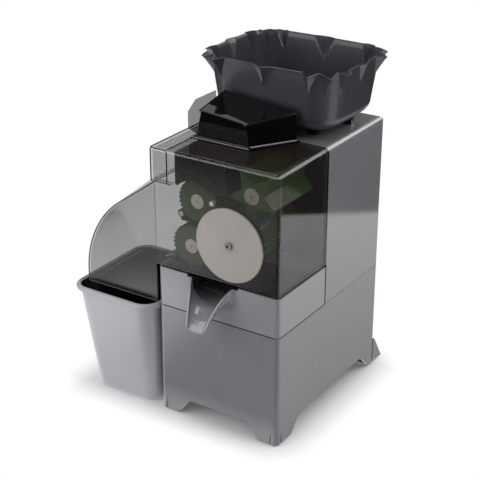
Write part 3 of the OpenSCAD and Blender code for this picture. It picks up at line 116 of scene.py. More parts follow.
class Signal:
    """One output of a shader graph; arithmetic on it adds Math nodes."""

    def __init__(self, graph: "Graph", socket: bpy.types.NodeSocket) -> None:
        """Keeps the graph and the socket.

        Args:
            graph: Graph that the socket is in.
            socket: Output that carries the value.
        """
        self.graph = graph
        self.socket = socket

    def _math(self, operation: str, first: object, second: object) -> "Signal":
        """Adds one Math node.

        Args:
            operation: Name of the node's operation.
            first: First value or signal.
            second: Second value or signal.

        Returns:
            The node's result.
        """
        return self.graph.node("ShaderNodeMath", {"operation": operation}, {0: first, 1: second})

    def __add__(self, other: object) -> "Signal":
        """Adds a value or a signal."""
        return self._math("ADD", self, other)

    def __radd__(self, other: object) -> "Signal":
        """Adds from the left."""
        return self._math("ADD", other, self)

    def __sub__(self, other: object) -> "Signal":
        """Takes a value or a signal away."""
        return self._math("SUBTRACT", self, other)

    def __rsub__(self, other: object) -> "Signal":
        """Is taken away from a value."""
        return self._math("SUBTRACT", other, self)

    def __mul__(self, other: object) -> "Signal":
        """Multiplies by a value or a signal."""
        return self._math("MULTIPLY", self, other)

    def __rmul__(self, other: object) -> "Signal":
        """Multiplies from the left."""
        return self._math("MULTIPLY", other, self)

    def __pow__(self, other: object) -> "Signal":
        """Raises to a power."""
        return self._math("POWER", self, other)

    def held(self, low: float = 0.0, high: float = 1.0) -> "Signal":
        """Holds the value between two limits.

        Args:
            low: Lowest value.
            high: Highest value.

        Returns:
            The limited signal.
        """
        return self._math("MINIMUM", self._math("MAXIMUM", self, low), high)


class Graph:
    """A node tree, built one node at a time."""

    def __init__(self, name: str, tree: bpy.types.NodeTree | None = None) -> None:
        """Empties a tree, or starts a new material where none is given.

        Args:
            name: Name of the material.
            tree: Tree to fill, or nothing for a new material's.
        """
        self.material: bpy.types.Material | None = None
        if tree is None:
            self.material = bpy.data.materials.new(name)
            self.material.use_nodes = True
            tree = self.material.node_tree
        self.tree = tree
        self.tree.nodes.clear()

    def feed(self, target: bpy.types.NodeSocket, value: object) -> None:
        """Links a signal to an input, or sets a plain value on it.

        Args:
            target: Input to feed.
            value: Signal, number, or colour or vector of numbers.
        """
        if isinstance(value, Signal):
            self.tree.links.new(value.socket, target)
        elif isinstance(value, tuple) and len(value) == 3 and len(target.default_value) == 4:
            target.default_value = (*value, 1.0)
        else:
            target.default_value = value

    def node(
        self,
        kind: str,
        settings: dict[str, object] | None = None,
        inputs: dict[int | str, object] | None = None,
        output: int | str = 0,
    ) -> Signal:
        """Adds a node.

        Args:
            kind: Type of the node.
            settings: Properties of the node; "stops" gives a ramp's places and colours.
            inputs: Values or signals for its inputs.
            output: Output to hand back.

        Returns:
            The chosen output.
        """
        item = self.tree.nodes.new(kind)
        for name, value in (settings or {}).items():
            if name == "stops":
                ramp = item.color_ramp
                while len(ramp.elements) < len(value):
                    ramp.elements.new(0.5)
                for element, (spot, colour) in zip(ramp.elements, value):
                    element.position = spot
                    element.color = (*colour, 1.0)
            else:
                setattr(item, name, value)
        for key, value in (inputs or {}).items():
            self.feed(item.inputs[key], value)
        return Signal(self, item.outputs[output])

    def where(self) -> Signal:
        """Gives the place on the piece, in metres."""
        return self.node("ShaderNodeTexCoord", output="Object")

    def axis(self, name: str) -> Signal:
        """Gives the place on the piece along one axis, in metres.

        Args:
            name: X, Y or Z.

        Returns:
            The place along that axis.
        """
        return self.node("ShaderNodeSeparateXYZ", {}, {0: self.where()}, name)

    def ray(self, kind: str) -> Signal:
        """Tells whether the light path is of one kind.

        Args:
            kind: Name of the Light Path output.

        Returns:
            1 for such a path, otherwise 0.
        """
        return self.node("ShaderNodeLightPath", output=kind)

    def stretched(self, scale: Point) -> Signal:
        """Gives the place on the piece, scaled along each axis.

        Args:
            scale: Factor along each axis.

        Returns:
            The scaled place.
        """
        return self.node("ShaderNodeMapping", {}, {"Vector": self.where(), "Scale": scale})

    def noise(self, scale: float, detail: float = 3.0, along: Signal | None = None) -> Signal:
        """Adds a noise between 0 and 1.

        Args:
            scale: Waves to a metre.
            detail: Octaves.
            along: Place to read, or nothing for the piece's own.

        Returns:
            The noise value.
        """
        spot = along or self.where()
        return self.node(
            "ShaderNodeTexNoise", {}, {"Vector": spot, "Scale": scale, "Detail": detail}
        )

    def blend(self, factor: object, low: object, high: object) -> Signal:
        """Mixes two colours.

        Args:
            factor: 0 for the first colour, 1 for the second.
            low: First colour.
            high: Second colour.

        Returns:
            The mixed colour.
        """
        return self.node(
            "ShaderNodeMix", {"data_type": "RGBA"}, {0: factor, 6: low, 7: high}, output=2
        )

    def mixed(self, factor: Signal, low: Signal, high: Signal) -> Signal:
        """Mixes two shaders.

        Args:
            factor: 0 for the first shader, 1 for the second.
            low: First shader.
            high: Second shader.

        Returns:
            The mixed shader.
        """
        return self.node("ShaderNodeMixShader", {}, {0: factor, 1: low, 2: high})

    def glow(self, strength: float) -> Signal:
        """Adds white light of one strength."""
        return self.node("ShaderNodeEmission", {}, {"Color": WHITE, "Strength": strength})

    def bump(self, height: Signal, strength: float, depth: float) -> Signal:
        """Turns a height into a normal.

        Args:
            height: Height between 0 and 1.
            strength: Share of the effect.
            depth: Depth of the relief in metres.

        Returns:
            The bent normal.
        """
        return self.node(
            "ShaderNodeBump", {}, {"Strength": strength, "Distance": depth, "Height": height}
        )

    def surface(self, inputs: dict[int | str, object]) -> bpy.types.Material:
        """Ends the graph with one principled shader.

        Args:
            inputs: Values or signals of the shader.

        Returns:
            The finished material.
        """
        return self.close(self.node("ShaderNodeBsdfPrincipled", {}, inputs))

    def background(self, colour: Colour, strength: float) -> Signal:
        """Adds a background shader for the surroundings.

        Args:
            colour: Its colour.
            strength: Its brightness.

        Returns:
            The shader.
        """
        return self.node("ShaderNodeBackground", {}, {"Color": colour, "Strength": strength})

    def close(
        self, shader: Signal, kind: str = "ShaderNodeOutputMaterial"
    ) -> bpy.types.Material | None:
        """Ends the graph with a shader.

        Args:
            shader: Shader for the surface.
            kind: Type of the output node.

        Returns:
            The finished material, if the graph is a material's.
        """
        target = self.tree.nodes.new(kind)
        self.tree.links.new(shader.socket, target.inputs["Surface"])
        return self.material


class Gloss(Enum):
    """How a moulding comes out of its tool: roughness, clear gloss, and its grain in microns."""

    MIRROR = (0.10, 1.0, 0.6)
    POLISHED = (0.17, 0.8, 1.5)
    SATIN = (0.32, 0.3, 5.0)
    GRAINED = (0.5, 0.0, 14.0)


@dataclass(frozen=True)
class Moulded:
    """Opaque moulded plastic with a soft cloudiness, fine grain and faint rub marks."""

    name: str
    colour: Colour
    gloss: Gloss = Gloss.SATIN

    def material(self) -> bpy.types.Material:
        """Builds the plastic."""
        rough, coat, grain = self.gloss.value
        g = Graph(self.name)
        cloud = g.noise(7.0, 2.0)
        speck = g.noise(900.0, 2.0)
        rub = g.noise(55.0, 6.0, g.stretched((1.0, 1.0, 0.18)))
        worn = ((rub - 0.56) * 9.0).held()
        tint = g.blend(cloud, shade(self.colour, 0.93), shade(self.colour, 1.07))
        return g.surface(
            {
                "Base Color": g.blend(worn * 0.10, tint, shade(self.colour, 1.35)),
                "Roughness": (rough + (cloud - 0.5) * 0.08 + worn * 0.07).held(0.05, 1.0),
                "Coat Weight": coat,
                "Coat Roughness": 0.07,
                "Coat IOR": 1.6,
                "IOR": 1.56,
                "Normal": g.bump(speck, 0.4, grain * MICRON),
            }
        )


@dataclass(frozen=True)
class Smoked:
    """See-through smoked plastic: a thin veil of smoke under a clear, mirror-like skin.

    held_back is the share of light that the veil holds back, and skin is how much the skin mirrors
    when it is seen straight on. The veil holds back painted_shade_gain more above
    painted_shade_above and to the right of painted_shade_right, both in millimetres: a painted
    shade that darkens the top and the right-hand part; the default height is above every piece.
    """

    name: str
    colour: Colour
    held_back: float
    skin: float = 0.055
    painted_shade_above: float = 9999.0
    painted_shade_right: float = -88.0
    painted_shade_gain: float = 0.3

    def material(self) -> bpy.types.Material:
        """Builds the smoked plastic."""
        g = Graph(self.name)
        haze = g.noise(11.0, 3.0)
        wipe = g.noise(24.0, 5.0, g.stretched((1.0, 1.0, 0.22)))
        marks = ((wipe - 0.6) * 7.0).held()
        # painted shade: the veil thickens above painted_shade_above and right of
        # painted_shade_right, so those parts come out darker
        painted_shade = ((g.axis("Z") - self.painted_shade_above * MM) * 2000.0).held()
        painted_shade = painted_shade * ((g.axis("X") - (self.painted_shade_right + SHIFT.x) * MM) * 500.0).held()
        veil = self.held_back + painted_shade * self.painted_shade_gain + (haze - 0.5) * 0.02 + marks * 0.015
        smoke = g.node(
            "ShaderNodeBsdfPrincipled",
            {},
            {
                "Base Color": g.blend(haze, shade(self.colour, 0.85), shade(self.colour, 1.15)),
                "Roughness": 0.6,
                "Specular IOR Level": 0.0,
                "Alpha": veil.held(),
            },
        )
        shine = g.node(
            "ShaderNodeBsdfPrincipled",
            {},
            {
                "Base Color": (0.96, 0.97, 1.0),
                "Metallic": 1.0,
                "Roughness": (0.03 + marks * 0.05).held(0.02, 0.3),
            },
        )
        slant = g.node("ShaderNodeLayerWeight", {}, {"Blend": 0.5}, output="Facing")
        mirror = (self.skin + (slant**5.0) * (1.0 - self.skin)).held()
        return g.close(g.mixed(mirror, smoke, shine))


class Cut(Enum):
    """How a metal face is worked: scale of its marks on each axis, and their depth in microns."""

    SPUN = ((60.0, 60.0, 60.0), 3.0)
    DRAWN = ((20.0, 700.0, 700.0), 4.0)
    CAST = ((420.0, 420.0, 420.0), 22.0)
    ROLLED = ((500.0, 500.0, 30.0), 5.0)


@dataclass(frozen=True)
class Metal:
    """Bare metal with tool marks, a little colour change and rubbed places."""

    name: str
    colour: Colour
    rough: float
    cut: Cut = Cut.ROLLED
    bare: float = 1.0

    def material(self) -> bpy.types.Material:
        """Builds the metal."""
        scale, depth = self.cut.value
        g = Graph(self.name)
        marks = g.noise(1.0, 4.0, g.stretched(scale))
        cloud = g.noise(28.0, 3.0)
        tint = g.blend(cloud, shade(self.colour, 0.88), shade(self.colour, 1.08))
        rough = self.rough + (marks - 0.5) * 0.16 + (cloud - 0.5) * 0.1
        return g.surface(
            {
                "Base Color": g.blend(marks * 0.25, tint, shade(self.colour, 0.72)),
                "Metallic": self.bare,
                "Roughness": rough.held(0.05, 1.0),
                "Normal": g.bump(marks, 0.6, depth * MICRON),
            }
        )


@dataclass(frozen=True)
class Rubber:
    """Soft black rubber with a dusty, uneven skin."""

    name: str
    colour: Colour

    def material(self) -> bpy.types.Material:
        """Builds the rubber."""
        g = Graph(self.name)
        dust = g.noise(90.0, 5.0)
        skin = g.noise(1400.0, 2.0)
        return g.surface(
            {
                "Base Color": g.blend(dust * 0.3, self.colour, shade(self.colour, 3.0)),
                "Roughness": (0.72 + (dust - 0.5) * 0.2).held(0.4, 1.0),
                "Normal": g.bump(skin, 0.6, 3e-5),
            }
        )


@dataclass(frozen=True)
class Laminate:
    """Circuit board with its copper tracks under green lacquer."""

    name: str
    colour: Colour

    def material(self) -> bpy.types.Material:
        """Builds the board's lacquer."""
        g = Graph(self.name)
        cells = g.node(
            "ShaderNodeTexVoronoi", {"distance": "MANHATTAN"}, {"Vector": g.where(), "Scale": 260.0}
        )
        tracks = ((0.34 - cells) * 14.0).held()
        return g.surface(
            {
                "Base Color": g.blend(tracks, self.colour, shade(self.colour, 2.4)),
                "Roughness": 0.34,
                "Coat Weight": 0.4,
                "Normal": g.bump(tracks, 0.5, 4e-5),
            }
        )


@dataclass
class Palette:
    """Every finish of the juicer, built once and handed to the pieces by slot name."""

    made: dict[str, bpy.types.Material] = field(default_factory=dict)

    def build(self) -> None:
        """Builds the materials."""
        for finish in (
            Moulded("base_grey", tone("77767a"), Gloss.POLISHED),
            Moulded("housing_grey", tone("777679"), Gloss.MIRROR),
            Moulded("tray_grey", tone("868589"), Gloss.POLISHED),
            Moulded("bin_grey", tone("a8a7ac"), Gloss.SATIN),
            Moulded("basket_grey", tone("3b3c41"), Gloss.SATIN),
            Moulded("dark_plastic", tone("1b1b1c"), Gloss.SATIN),
            Moulded("black_plastic", tone("0e0e0f"), Gloss.POLISHED),
            Moulded("drum_green", tone("425920"), Gloss.SATIN),
            Moulded("star_green", tone("3f5b1f"), Gloss.SATIN),
            Moulded("gear_plastic", tone("e2dfd4"), Gloss.SATIN),
            Moulded("pale_plastic", tone("d8d7d2"), Gloss.SATIN),
            Moulded("switch_red", tone("b3201b"), Gloss.POLISHED),
            Moulded("motor_grey", tone("4b5056"), Gloss.GRAINED),
            # painted shade: the smoked cover's top and the dark smoke's right-hand part are
            # darkened by their painted_shade values
            Smoked("smoked_cover", tone("2a2521"), 0.225, 0.055, painted_shade_above=448.5),
            Smoked("smoked_side", tone("37322e"), 0.255, 0.04),
            Smoked("smoked_dark", tone("0b0b0c"), 0.5, 0.022, painted_shade_above=-1.0, painted_shade_gain=0.45),
            Metal("disc_steel", tone("b3ada6"), 0.42, Cut.SPUN, bare=0.3),
            Metal("cap_steel", tone("c9bcae"), 0.4, Cut.SPUN, bare=0.25),
            Metal("cap_bright", tone("f2e8da"), 0.4, Cut.SPUN, bare=0.1),
            Metal("shaft_steel", tone("c4c4c4"), 0.24, Cut.DRAWN),
            Metal("steel", tone("bdbdbd"), 0.3, Cut.SPUN),
            Metal("filter_dark", tone("2b2b2c"), 0.5, Cut.ROLLED, bare=0.4),
            Metal("plate_steel", tone("b2b3b5"), 0.38, Cut.ROLLED),
            Metal("bronze", tone("b58f57"), 0.4, Cut.CAST),
            Metal("cast_alloy", tone("a3a3a3"), 0.5, Cut.CAST),
            Rubber("rubber", tone("141414")),
            Laminate("board_green", tone("124a28")),
        ):
            self.made[finish.name] = finish.material()

    def dress(self, item: bpy.types.Object, slot: str) -> None:
        """Gives a piece one finish.

        Args:
            item: Piece to dress.
            slot: Slot whose finish it takes.
        """
        if not item.material_slots:
            item.data.materials.append(self.made[slot])
        for holder in item.material_slots:
            holder.material = self.made[slot]


def stitch(
    bm: bmesh.types.BMesh, rows: Sequence[Sequence[bmesh.types.BMVert]], ends: tuple[bool, bool]
) -> None:
    """Joins rows of equal counts with faces.

    Args:
        bm: Mesh that holds the rows.
        rows: Rows of its points, each closed on itself.
        ends: Whether the first and the last row are closed with a face.
    """
    count = len(rows[0])
    for low, high in zip(rows, rows[1:]):
        for i in range(count):
            j = (i + 1) % count
            bm.faces.new((low[i], low[j], high[j], high[i]))
    if ends[0]:
        bm.faces.new(list(reversed(rows[0])))
    if ends[1]:
        bm.faces.new(rows[-1])


def finished(name: str, bm: bmesh.types.BMesh, crease: float) -> bpy.types.Object:
    """Puts a mesh into the scene with smooth faces and sharp creases.

    Args:
        name: Name of the piece.
        bm: Its mesh, which is used up.
        crease: Angle in degrees above which an edge stays sharp.

    Returns:
        The new object.
    """
    bmesh.ops.recalc_face_normals(bm, faces=bm.faces)
    mesh = bpy.data.meshes.new(name)
    bm.to_mesh(mesh)
    bm.free()
    mesh.shade_smooth()
    mesh.set_sharp_from_angle(angle=math.radians(crease))
    item = bpy.data.objects.new(name, mesh)
    bpy.context.scene.collection.objects.link(item)
    return item


def loft(
    name: str, rings: Sequence[Ring], ends: tuple[bool, bool], crease: float
) -> bpy.types.Object:
    """Makes a closed skin through rings of equal counts.

    Args:
        name: Name of the piece.
        rings: Rings of points, in metres.
        ends: Whether the first and the last ring are closed with a face.
        crease: Angle in degrees above which an edge stays sharp.

    Returns:
        The new object.
    """
    bm = bmesh.new()
    stitch(bm, [[bm.verts.new(point) for point in ring] for ring in rings], ends)
    return finished(name, bm, crease)


@dataclass(frozen=True)
class TubShape:
    """Rounded rectangle that a tub's levels follow, in millimetres."""

    x: float
    y: float
    width: float
    depth: float
    radius: float
    bow: float = 0.0

    def spot(self, share: float, out: float) -> tuple[Vector, Vector]:
        """Finds a point of the outline and the way it faces.

        Args:
            share: Share of the way round, from 0 to 1.
            out: How far the outline is moved out.

        Returns:
            The point and its outward direction, both flat.
        """
        half_w, half_d, r = self.width / 2 + out, self.depth / 2 + out, self.radius + out
        side, face, bend = 2 * (half_d - r), 2 * (half_w - r), math.pi * r / 2
        far = share >= 0.5
        d = (share - 0.5 if far else share) * 2 * (side + face + 2 * bend)
        if d < side:
            a = 0.0
            p = Vector((half_w + self.bow * math.sin(math.pi * d / side), d - half_d + r))
        elif d < side + bend:
            a = math.pi / 2 * (d - side) / bend
            p = Vector((half_w - r + r * math.cos(a), half_d - r + r * math.sin(a)))
        elif d < side + bend + face:
            a = math.pi / 2
            along = d - side - bend
            p = Vector((half_w - r - along, half_d + self.bow * math.sin(math.pi * along / face)))
        else:
            a = math.pi / 2 * (1 + (d - side - bend - face) / bend)
            p = Vector((r - half_w + r * math.cos(a), half_d - r + r * math.sin(a)))
        turn = -1.0 if far else 1.0
        facing = turn * Vector((math.cos(a), math.sin(a)))
        return Vector((self.x + turn * p.x, self.y + turn * p.y)), facing


@dataclass(frozen=True)
class Pleat:
    """V-shaped fold of the basket's rim: widest at the rim, and down to a point on the wall."""

    middle: float
    half: float
    out: float


@dataclass
class Basket:
    """Tub for the fruit, whose rim is pleated outward round its corners and at mid-side."""

    shape: TubShape = TubShape(-6.0, 70.8, 216.0, 164.0, 40.0, 1.6)
    floor_z: float = 462.0
    height: float = 98.0
    lean: float = 11.0
    fillet: float = 24.0
    wall: float = 2.4
    pleat_drop: float = 5.0
    pleat_zone: float = 0.34
    pleat_foot: float = 0.12
    deepest_pleat: float = 15.0
    lip: float = 0.66
    pleats: tuple[Pleat, ...] = (
        Pleat(42.0, 16.0, 6.0),
        Pleat(95.0, 12.0, 13.0),
        Pleat(123.0, 13.0, 15.0),
        Pleat(151.0, 12.0, 13.0),
        Pleat(232.0, 19.0, 8.0),
        Pleat(312.0, 12.0, 13.0),
        Pleat(340.0, 13.0, 15.0),
        Pleat(368.0, 12.0, 12.0),
    )
    half_way: float = 380.3
    cuts: int = 9
    pleat_cuts: int = 4
    fillet_steps: int = 8
    zone_steps: int = 7

    def marks(self, rise: float) -> list[tuple[float, float]]:
        """Lists the points along half the way round, set so that the pleats' edges fall on them.

        Args:
            rise: 0 at the foot of the pleats, 1 at the rim.

        Returns:
            Place in millimetres and outward bend in millimetres of each point.
        """
        found: list[tuple[float, float]] = []
        last = 0.0
        width = max(rise, self.pleat_foot)
        fold = self.pleat_cuts
        for pleat in self.pleats:
            start = pleat.middle - pleat.half * width
            found += [(last + (start - last) * k / self.cuts, 0.0) for k in range(self.cuts)]
            for k in range(-fold, fold):
                bend = pleat.out * max(0.0, rise - abs(k / fold) * width)
                found.append((pleat.middle + pleat.half * width * k / fold, bend))
            last = pleat.middle + pleat.half * width
        gap = self.half_way - last
        found += [(last + gap * k / self.cuts, 0.0) for k in range(self.cuts)]
        return found

    def level(self, z: float, lean: float, rise: float) -> Ring:
        """Makes one ring.

        Args:
            z: Height above the basket's floor.
            lean: How far the ring is out from the floor's outline.
            rise: Share of the pleats' height that the ring is at.

        Returns:
            The ring, in metres.
        """
        ring: Ring = []
        spots = self.marks(rise)
        for side in (0.0, 0.5):
            for along, bend in spots:
                flat, facing = self.shape.spot(side + along / self.half_way / 2, lean)
                spot = flat + facing * bend
                drop = self.pleat_drop * (bend / self.deepest_pleat) ** 2
                ring.append(place(spot.x, spot.y, self.floor_z + z - drop))
        return ring

    def build(self, palette: Palette) -> None:
        """Builds the basket.

        Args:
            palette: Finishes to dress it from.
        """
        outer: list[Ring] = []
        inner: list[Ring] = []
        for step in range(self.fillet_steps + 1):
            a = math.pi / 2 * step / self.fillet_steps
            out = -self.fillet * (1 - math.sin(a))
            up = self.fillet * (1 - math.cos(a))
            outer.append(self.level(up, out, 0.0))
            up_inside = up + self.wall * math.cos(a)
            inner.append(self.level(up_inside, out - self.wall * math.sin(a), 0.0))
        low = 1.0 - self.pleat_zone
        pleated = [low + self.pleat_zone * k / self.zone_steps for k in range(1, self.zone_steps)]
        for share in (0.4, 0.55, low, *pleated):
            z = self.height * share
            lean = self.lean * (z - self.fillet) / (self.height - self.fillet)
            rise = max(0.0, share - low) / self.pleat_zone
            outer.append(self.level(z, lean, rise))
            inner.append(self.level(z, lean - self.wall, rise))
        top = self.height - 0.2
        outer.append(self.level(top - 1.6, self.lean, 0.97))
        outer.append(self.level(top - 1.1, self.lean + self.lip, 1.0))
        outer.append(self.level(top - 0.4, self.lean + self.lip, 1.0))
        outer.append(self.level(top, self.lean, 1.0))
        inner.append(self.level(top, self.lean - 0.6, 1.0))
        tub = loft("fruit_basket_skin", outer + inner[::-1], (True, True), 28.0)
        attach(tub, "basket")
        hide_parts("fruit_basket")
        palette.dress(tub, "basket_grey")
        LOG.info("fruit basket: %d rings", len(outer) + len(inner))


@dataclass
class PeelBin:
    """Bin on the floor beside the body, with a rolled rim."""

    left: float = -275.9
    right: float = -110.9
    front: float = -182.0
    back: float = 18.0
    height: float = 188.0
    rim: float = 6.0
    wall: float = 2.6
    radius: float = 26.0
    lean: Area = (20.0, 18.0, 4.0, 12.0)
    foot: float = 8.0
    foot_steps: int = 4
    roll: float = 5.0
    roll_tilt: float = 0.3
    roll_steps: int = 10
    sides: int = 144

    def level(self, z: float, out: float, radius: float) -> Ring:
        """Makes one ring.

        Args:
            z: Height above the floor.
            out: How far the ring is out from the body of the bin.
            radius: Corner radius.

        Returns:
            The ring, in metres.
        """
        down = 1 - z / self.height
        e = self.rim - out
        lean_left, lean_front, lean_right, lean_back = (share * down for share in self.lean)
        left, right = self.left + e + lean_left, self.right - e - lean_right
        front, back = self.front + e + lean_front, self.back - e - lean_back
        middle_x, middle_y = (left + right) / 2, (front + back) / 2
        shape = TubShape(middle_x, middle_y, right - left, back - front, radius)
        ring: Ring = []
        for i in range(self.sides):
            flat, _ = shape.spot(i / self.sides, 0.0)
            ring.append(place(flat.x, flat.y, z))
        return ring

    def build(self, palette: Palette) -> None:
        """Builds the bin.

        Args:
            palette: Finishes to dress it from.
        """
        rings: list[Ring] = []
        for step in range(self.foot_steps + 1):
            a = math.pi / 2 * step / self.foot_steps
            out = -self.foot * (1 - math.sin(a))
            rings.append(self.level(self.foot * (1 - math.cos(a)), out, self.radius + out))
        rings.append(self.level(self.height - 2.1 * self.roll, 0.0, self.radius))
        for step in range(self.roll_steps + 1):
            a = math.pi * (-0.62 + 1.42 * step / self.roll_steps) - self.roll_tilt
            out = self.rim - self.roll + self.roll * math.cos(a)
            z = self.height - self.roll + self.roll * math.sin(a)
            rings.append(self.level(min(z, self.height), max(out, 0.0), self.radius + out * 0.6))
        rings.append(self.level(self.height - 2.2, -0.6 * self.wall, self.radius - self.wall))
        inside: list[Ring] = [rings[-1]]
        inside.append(self.level(self.height - 6.0, -self.wall, self.radius - self.wall))
        for step in range(self.foot_steps, -1, -1):
            a = math.pi / 2 * step / self.foot_steps
            out = -self.wall - (self.foot - 1.0) * (1 - math.sin(a))
            z = self.wall + self.foot * (1 - math.cos(a))
            inside.append(self.level(z, out, self.radius + out))
        self._finish("peel_bin_skin", rings, (True, False), "bin_grey", palette)
        # painted shade: the inner skin is black plastic, standing for the shade that fills the
        # bin's inside
        self._finish("peel_bin_inside_painted_shade", inside, (False, True), "black_plastic", palette)
        LOG.info("peel bin: %d rings", len(rings) + len(inside))

    def _finish(
        self, name: str, rings: list[Ring], ends: tuple[bool, bool], slot: str, palette: Palette
    ) -> None:
        """Makes one skin of the bin and dresses it.

        Args:
            name: Name of the skin.
            rings: Its rings.
            ends: Whether the first and the last ring are closed.
            slot: Slot of its finish.
            palette: Finishes to dress it from.
        """
        tub = loft(name, rings, ends, 60.0)
        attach(tub, "bin")
        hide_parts("peel_bin")
        palette.dress(tub, slot)


def swept(
    name: str, paths: Sequence[Sequence[Point]], radius: float, sides: int = 10
) -> bpy.types.Object:
    """Sweeps a small round section along each path.

    Args:
        name: Name of the piece.
        paths: Points of each path, in millimetres round the body's centre line.
        radius: Radius of the section in millimetres.
        sides: Points round the section.

    Returns:
        The new object.
    """
    turns = [2 * math.pi * k / sides for k in range(sides)]
    bm = bmesh.new()
    for path in paths:
        spots = [place(*point) for point in path]
        rows = []
        across: Vector | None = None
        for i, spot in enumerate(spots):
            way = (spots[min(i + 1, len(spots) - 1)] - spots[max(i - 1, 0)]).normalized()
            if across is None:
                across = way.orthogonal()
            across = (across - way * across.dot(way)).normalized()
            side = way.cross(across)
            spokes = [across * math.cos(t) + side * math.sin(t) for t in turns]
            rows.append([bm.verts.new(spot + radius * MM * spoke) for spoke in spokes])
        stitch(bm, rows, (True, True))
    return finished(name, bm, 50.0)


def between(start: Point, end: Point, steps: int) -> list[Point]:
    """Splits a straight line.

    Args:
        start: First point.
        end: Last point.
        steps: Number of parts.

    Returns:
        The points, both ends among them.
    """
    return [tuple(a + (b - a) * k / steps for a, b in zip(start, end)) for k in range(steps + 1)]


@dataclass
class Trim:
    """Group of thin edges that move together; finish is given where it isn't the slot's own."""

    name: str
    body: str
    slot: str
    radius: float
    paths: Sequence[Sequence[Point]]
    finish: str = ""

    def build(self, palette: Palette) -> None:
        """Builds the edges.

        Args:
            palette: Finishes to dress them from.
        """
        item = swept(self.name, self.paths, self.radius)
        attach(item, self.body)
        palette.dress(item, self.finish or self.slot)
        LOG.info("%s: %d edges on %s", self.name, len(self.paths), self.body)


@dataclass
class CoverEdges:
    """Black tubes along the edges of the smoked covers: painted shade where light is lost in the
    thickness of the wall.
    """

    left: float = -120.0
    joint: float = -113.0
    right: float = 110.0
    front: float = -159.0
    back: float = -20.2
    top: float = 450.0
    low: float = 259.0
    corner_z: float = 395.0
    inset: float = 0.65
    bend: float = 1.2
    plate_x: float = -82.0
    shoulder: float = 24.0
    side_middle: tuple[float, float] = (-83.0, 210.0)
    side_radius: float = 168.0
    tangent: float = 128.9
    side_low: float = 192.0
    side_steps: int = 24
    stud: tuple[float, float] = (-9.8, 380.8)
    stud_radius: float = 4.0

    def side_outline(self, y: float) -> list[Point]:
        """Follows the outline of the side cover.

        Args:
            y: Depth at which it runs.

        Returns:
            Its points, from the lower edge to the corner.
        """
        x, z = self.side_middle
        r = self.side_radius - self.inset
        points = between((x - r, y, self.side_low + self.inset), (x - r, y, z), 2)
        for k in range(1, self.side_steps + 1):
            a = math.radians(180.0 - (180.0 - self.tangent) * k / self.side_steps)
            points.append((x + r * math.cos(a), y, z + r * math.sin(a)))
        points.append((self.joint - 1.0, y, self.corner_z - 1.6))
        return points

    def build(self, palette: Palette) -> None:
        """Builds the edges of both covers.

        Args:
            palette: Finishes to dress them from.
        """
        e = self.inset
        fore, rear = self.front + e, self.back - e
        left, right, top = self.left + e, self.right - e, self.top - e
        low = self.low + e
        foot = self.side_low + e
        outer = self.side_middle[0] - self.side_radius + e
        corner, inner = self.corner_z + e, self.joint + self.shoulder
        bent_y, bent_z = fore + self.bend, top - self.bend
        side_cover = [
            self.side_outline(fore),
            [(outer, fore, foot), (self.joint - 1.0, fore, foot)],
            [(outer, fore, foot), (outer, rear, foot)],
        ]
        corner_piece = [
            [(left, fore + 4.0, top - 0.6), (left, rear, top - 0.6)],
            [
                (left, fore + 1.0, corner),
                (left, fore + 1.0, top - 4.0),
                (left, fore + 4.0, top - 0.6),
            ],
            between((left, fore, corner), (self.plate_x, fore, corner), 2),
            # painted shade: this tube darkens the corner piece's front top edge over its highlight
            between((left, bent_y, bent_z), (inner, bent_y, bent_z), 2),
            [(inner, fore, corner), (inner, fore, top - 3.0)],
            [(inner, fore + 3.0, top), (inner, rear, top)],
        ]
        front_cover = [
            [
                (self.joint + 1.0, fore, low),
                (right - 4.0, fore, low),
                (right - 1.2, fore + 1.2, low),
                (right, fore + 4.0, low),
                (right, rear, low),
            ],
            [
                (right, rear, low),
                (right, rear, top - 10.0),
                (right - 3.0, rear, top - 3.0),
                (right - 10.0, rear, top),
            ],
            [(right - 1.0, fore + 1.0, low), (right - 1.0, fore + 1.0, low + 84.0)],
        ]
        black = side_cover + corner_piece + front_cover
        # painted shade: black tubes stand for the dark look of the covers' edges
        Trim("cover_edges_painted_shade", "cover", "black_plastic", 1.0, black).build(palette)
        # painted highlight: a pale tube along the side cover's foot stands for the light caught on
        # that edge
        light = [[(outer + 4.0, fore + 3.0, foot + 1.0), (outer + 4.0, rear - 2.0, foot + 1.0)]]
        Trim("cover_foot_painted_highlight", "cover", "tray_grey", 0.7, light).build(palette)
        x, z = self.stud
        stud = [[(x, self.front + 2.3, z), (x, self.front + 9.0, z)]]
        Trim("cover_stud", "cover", "steel", self.stud_radius, stud, "cap_bright").build(palette)


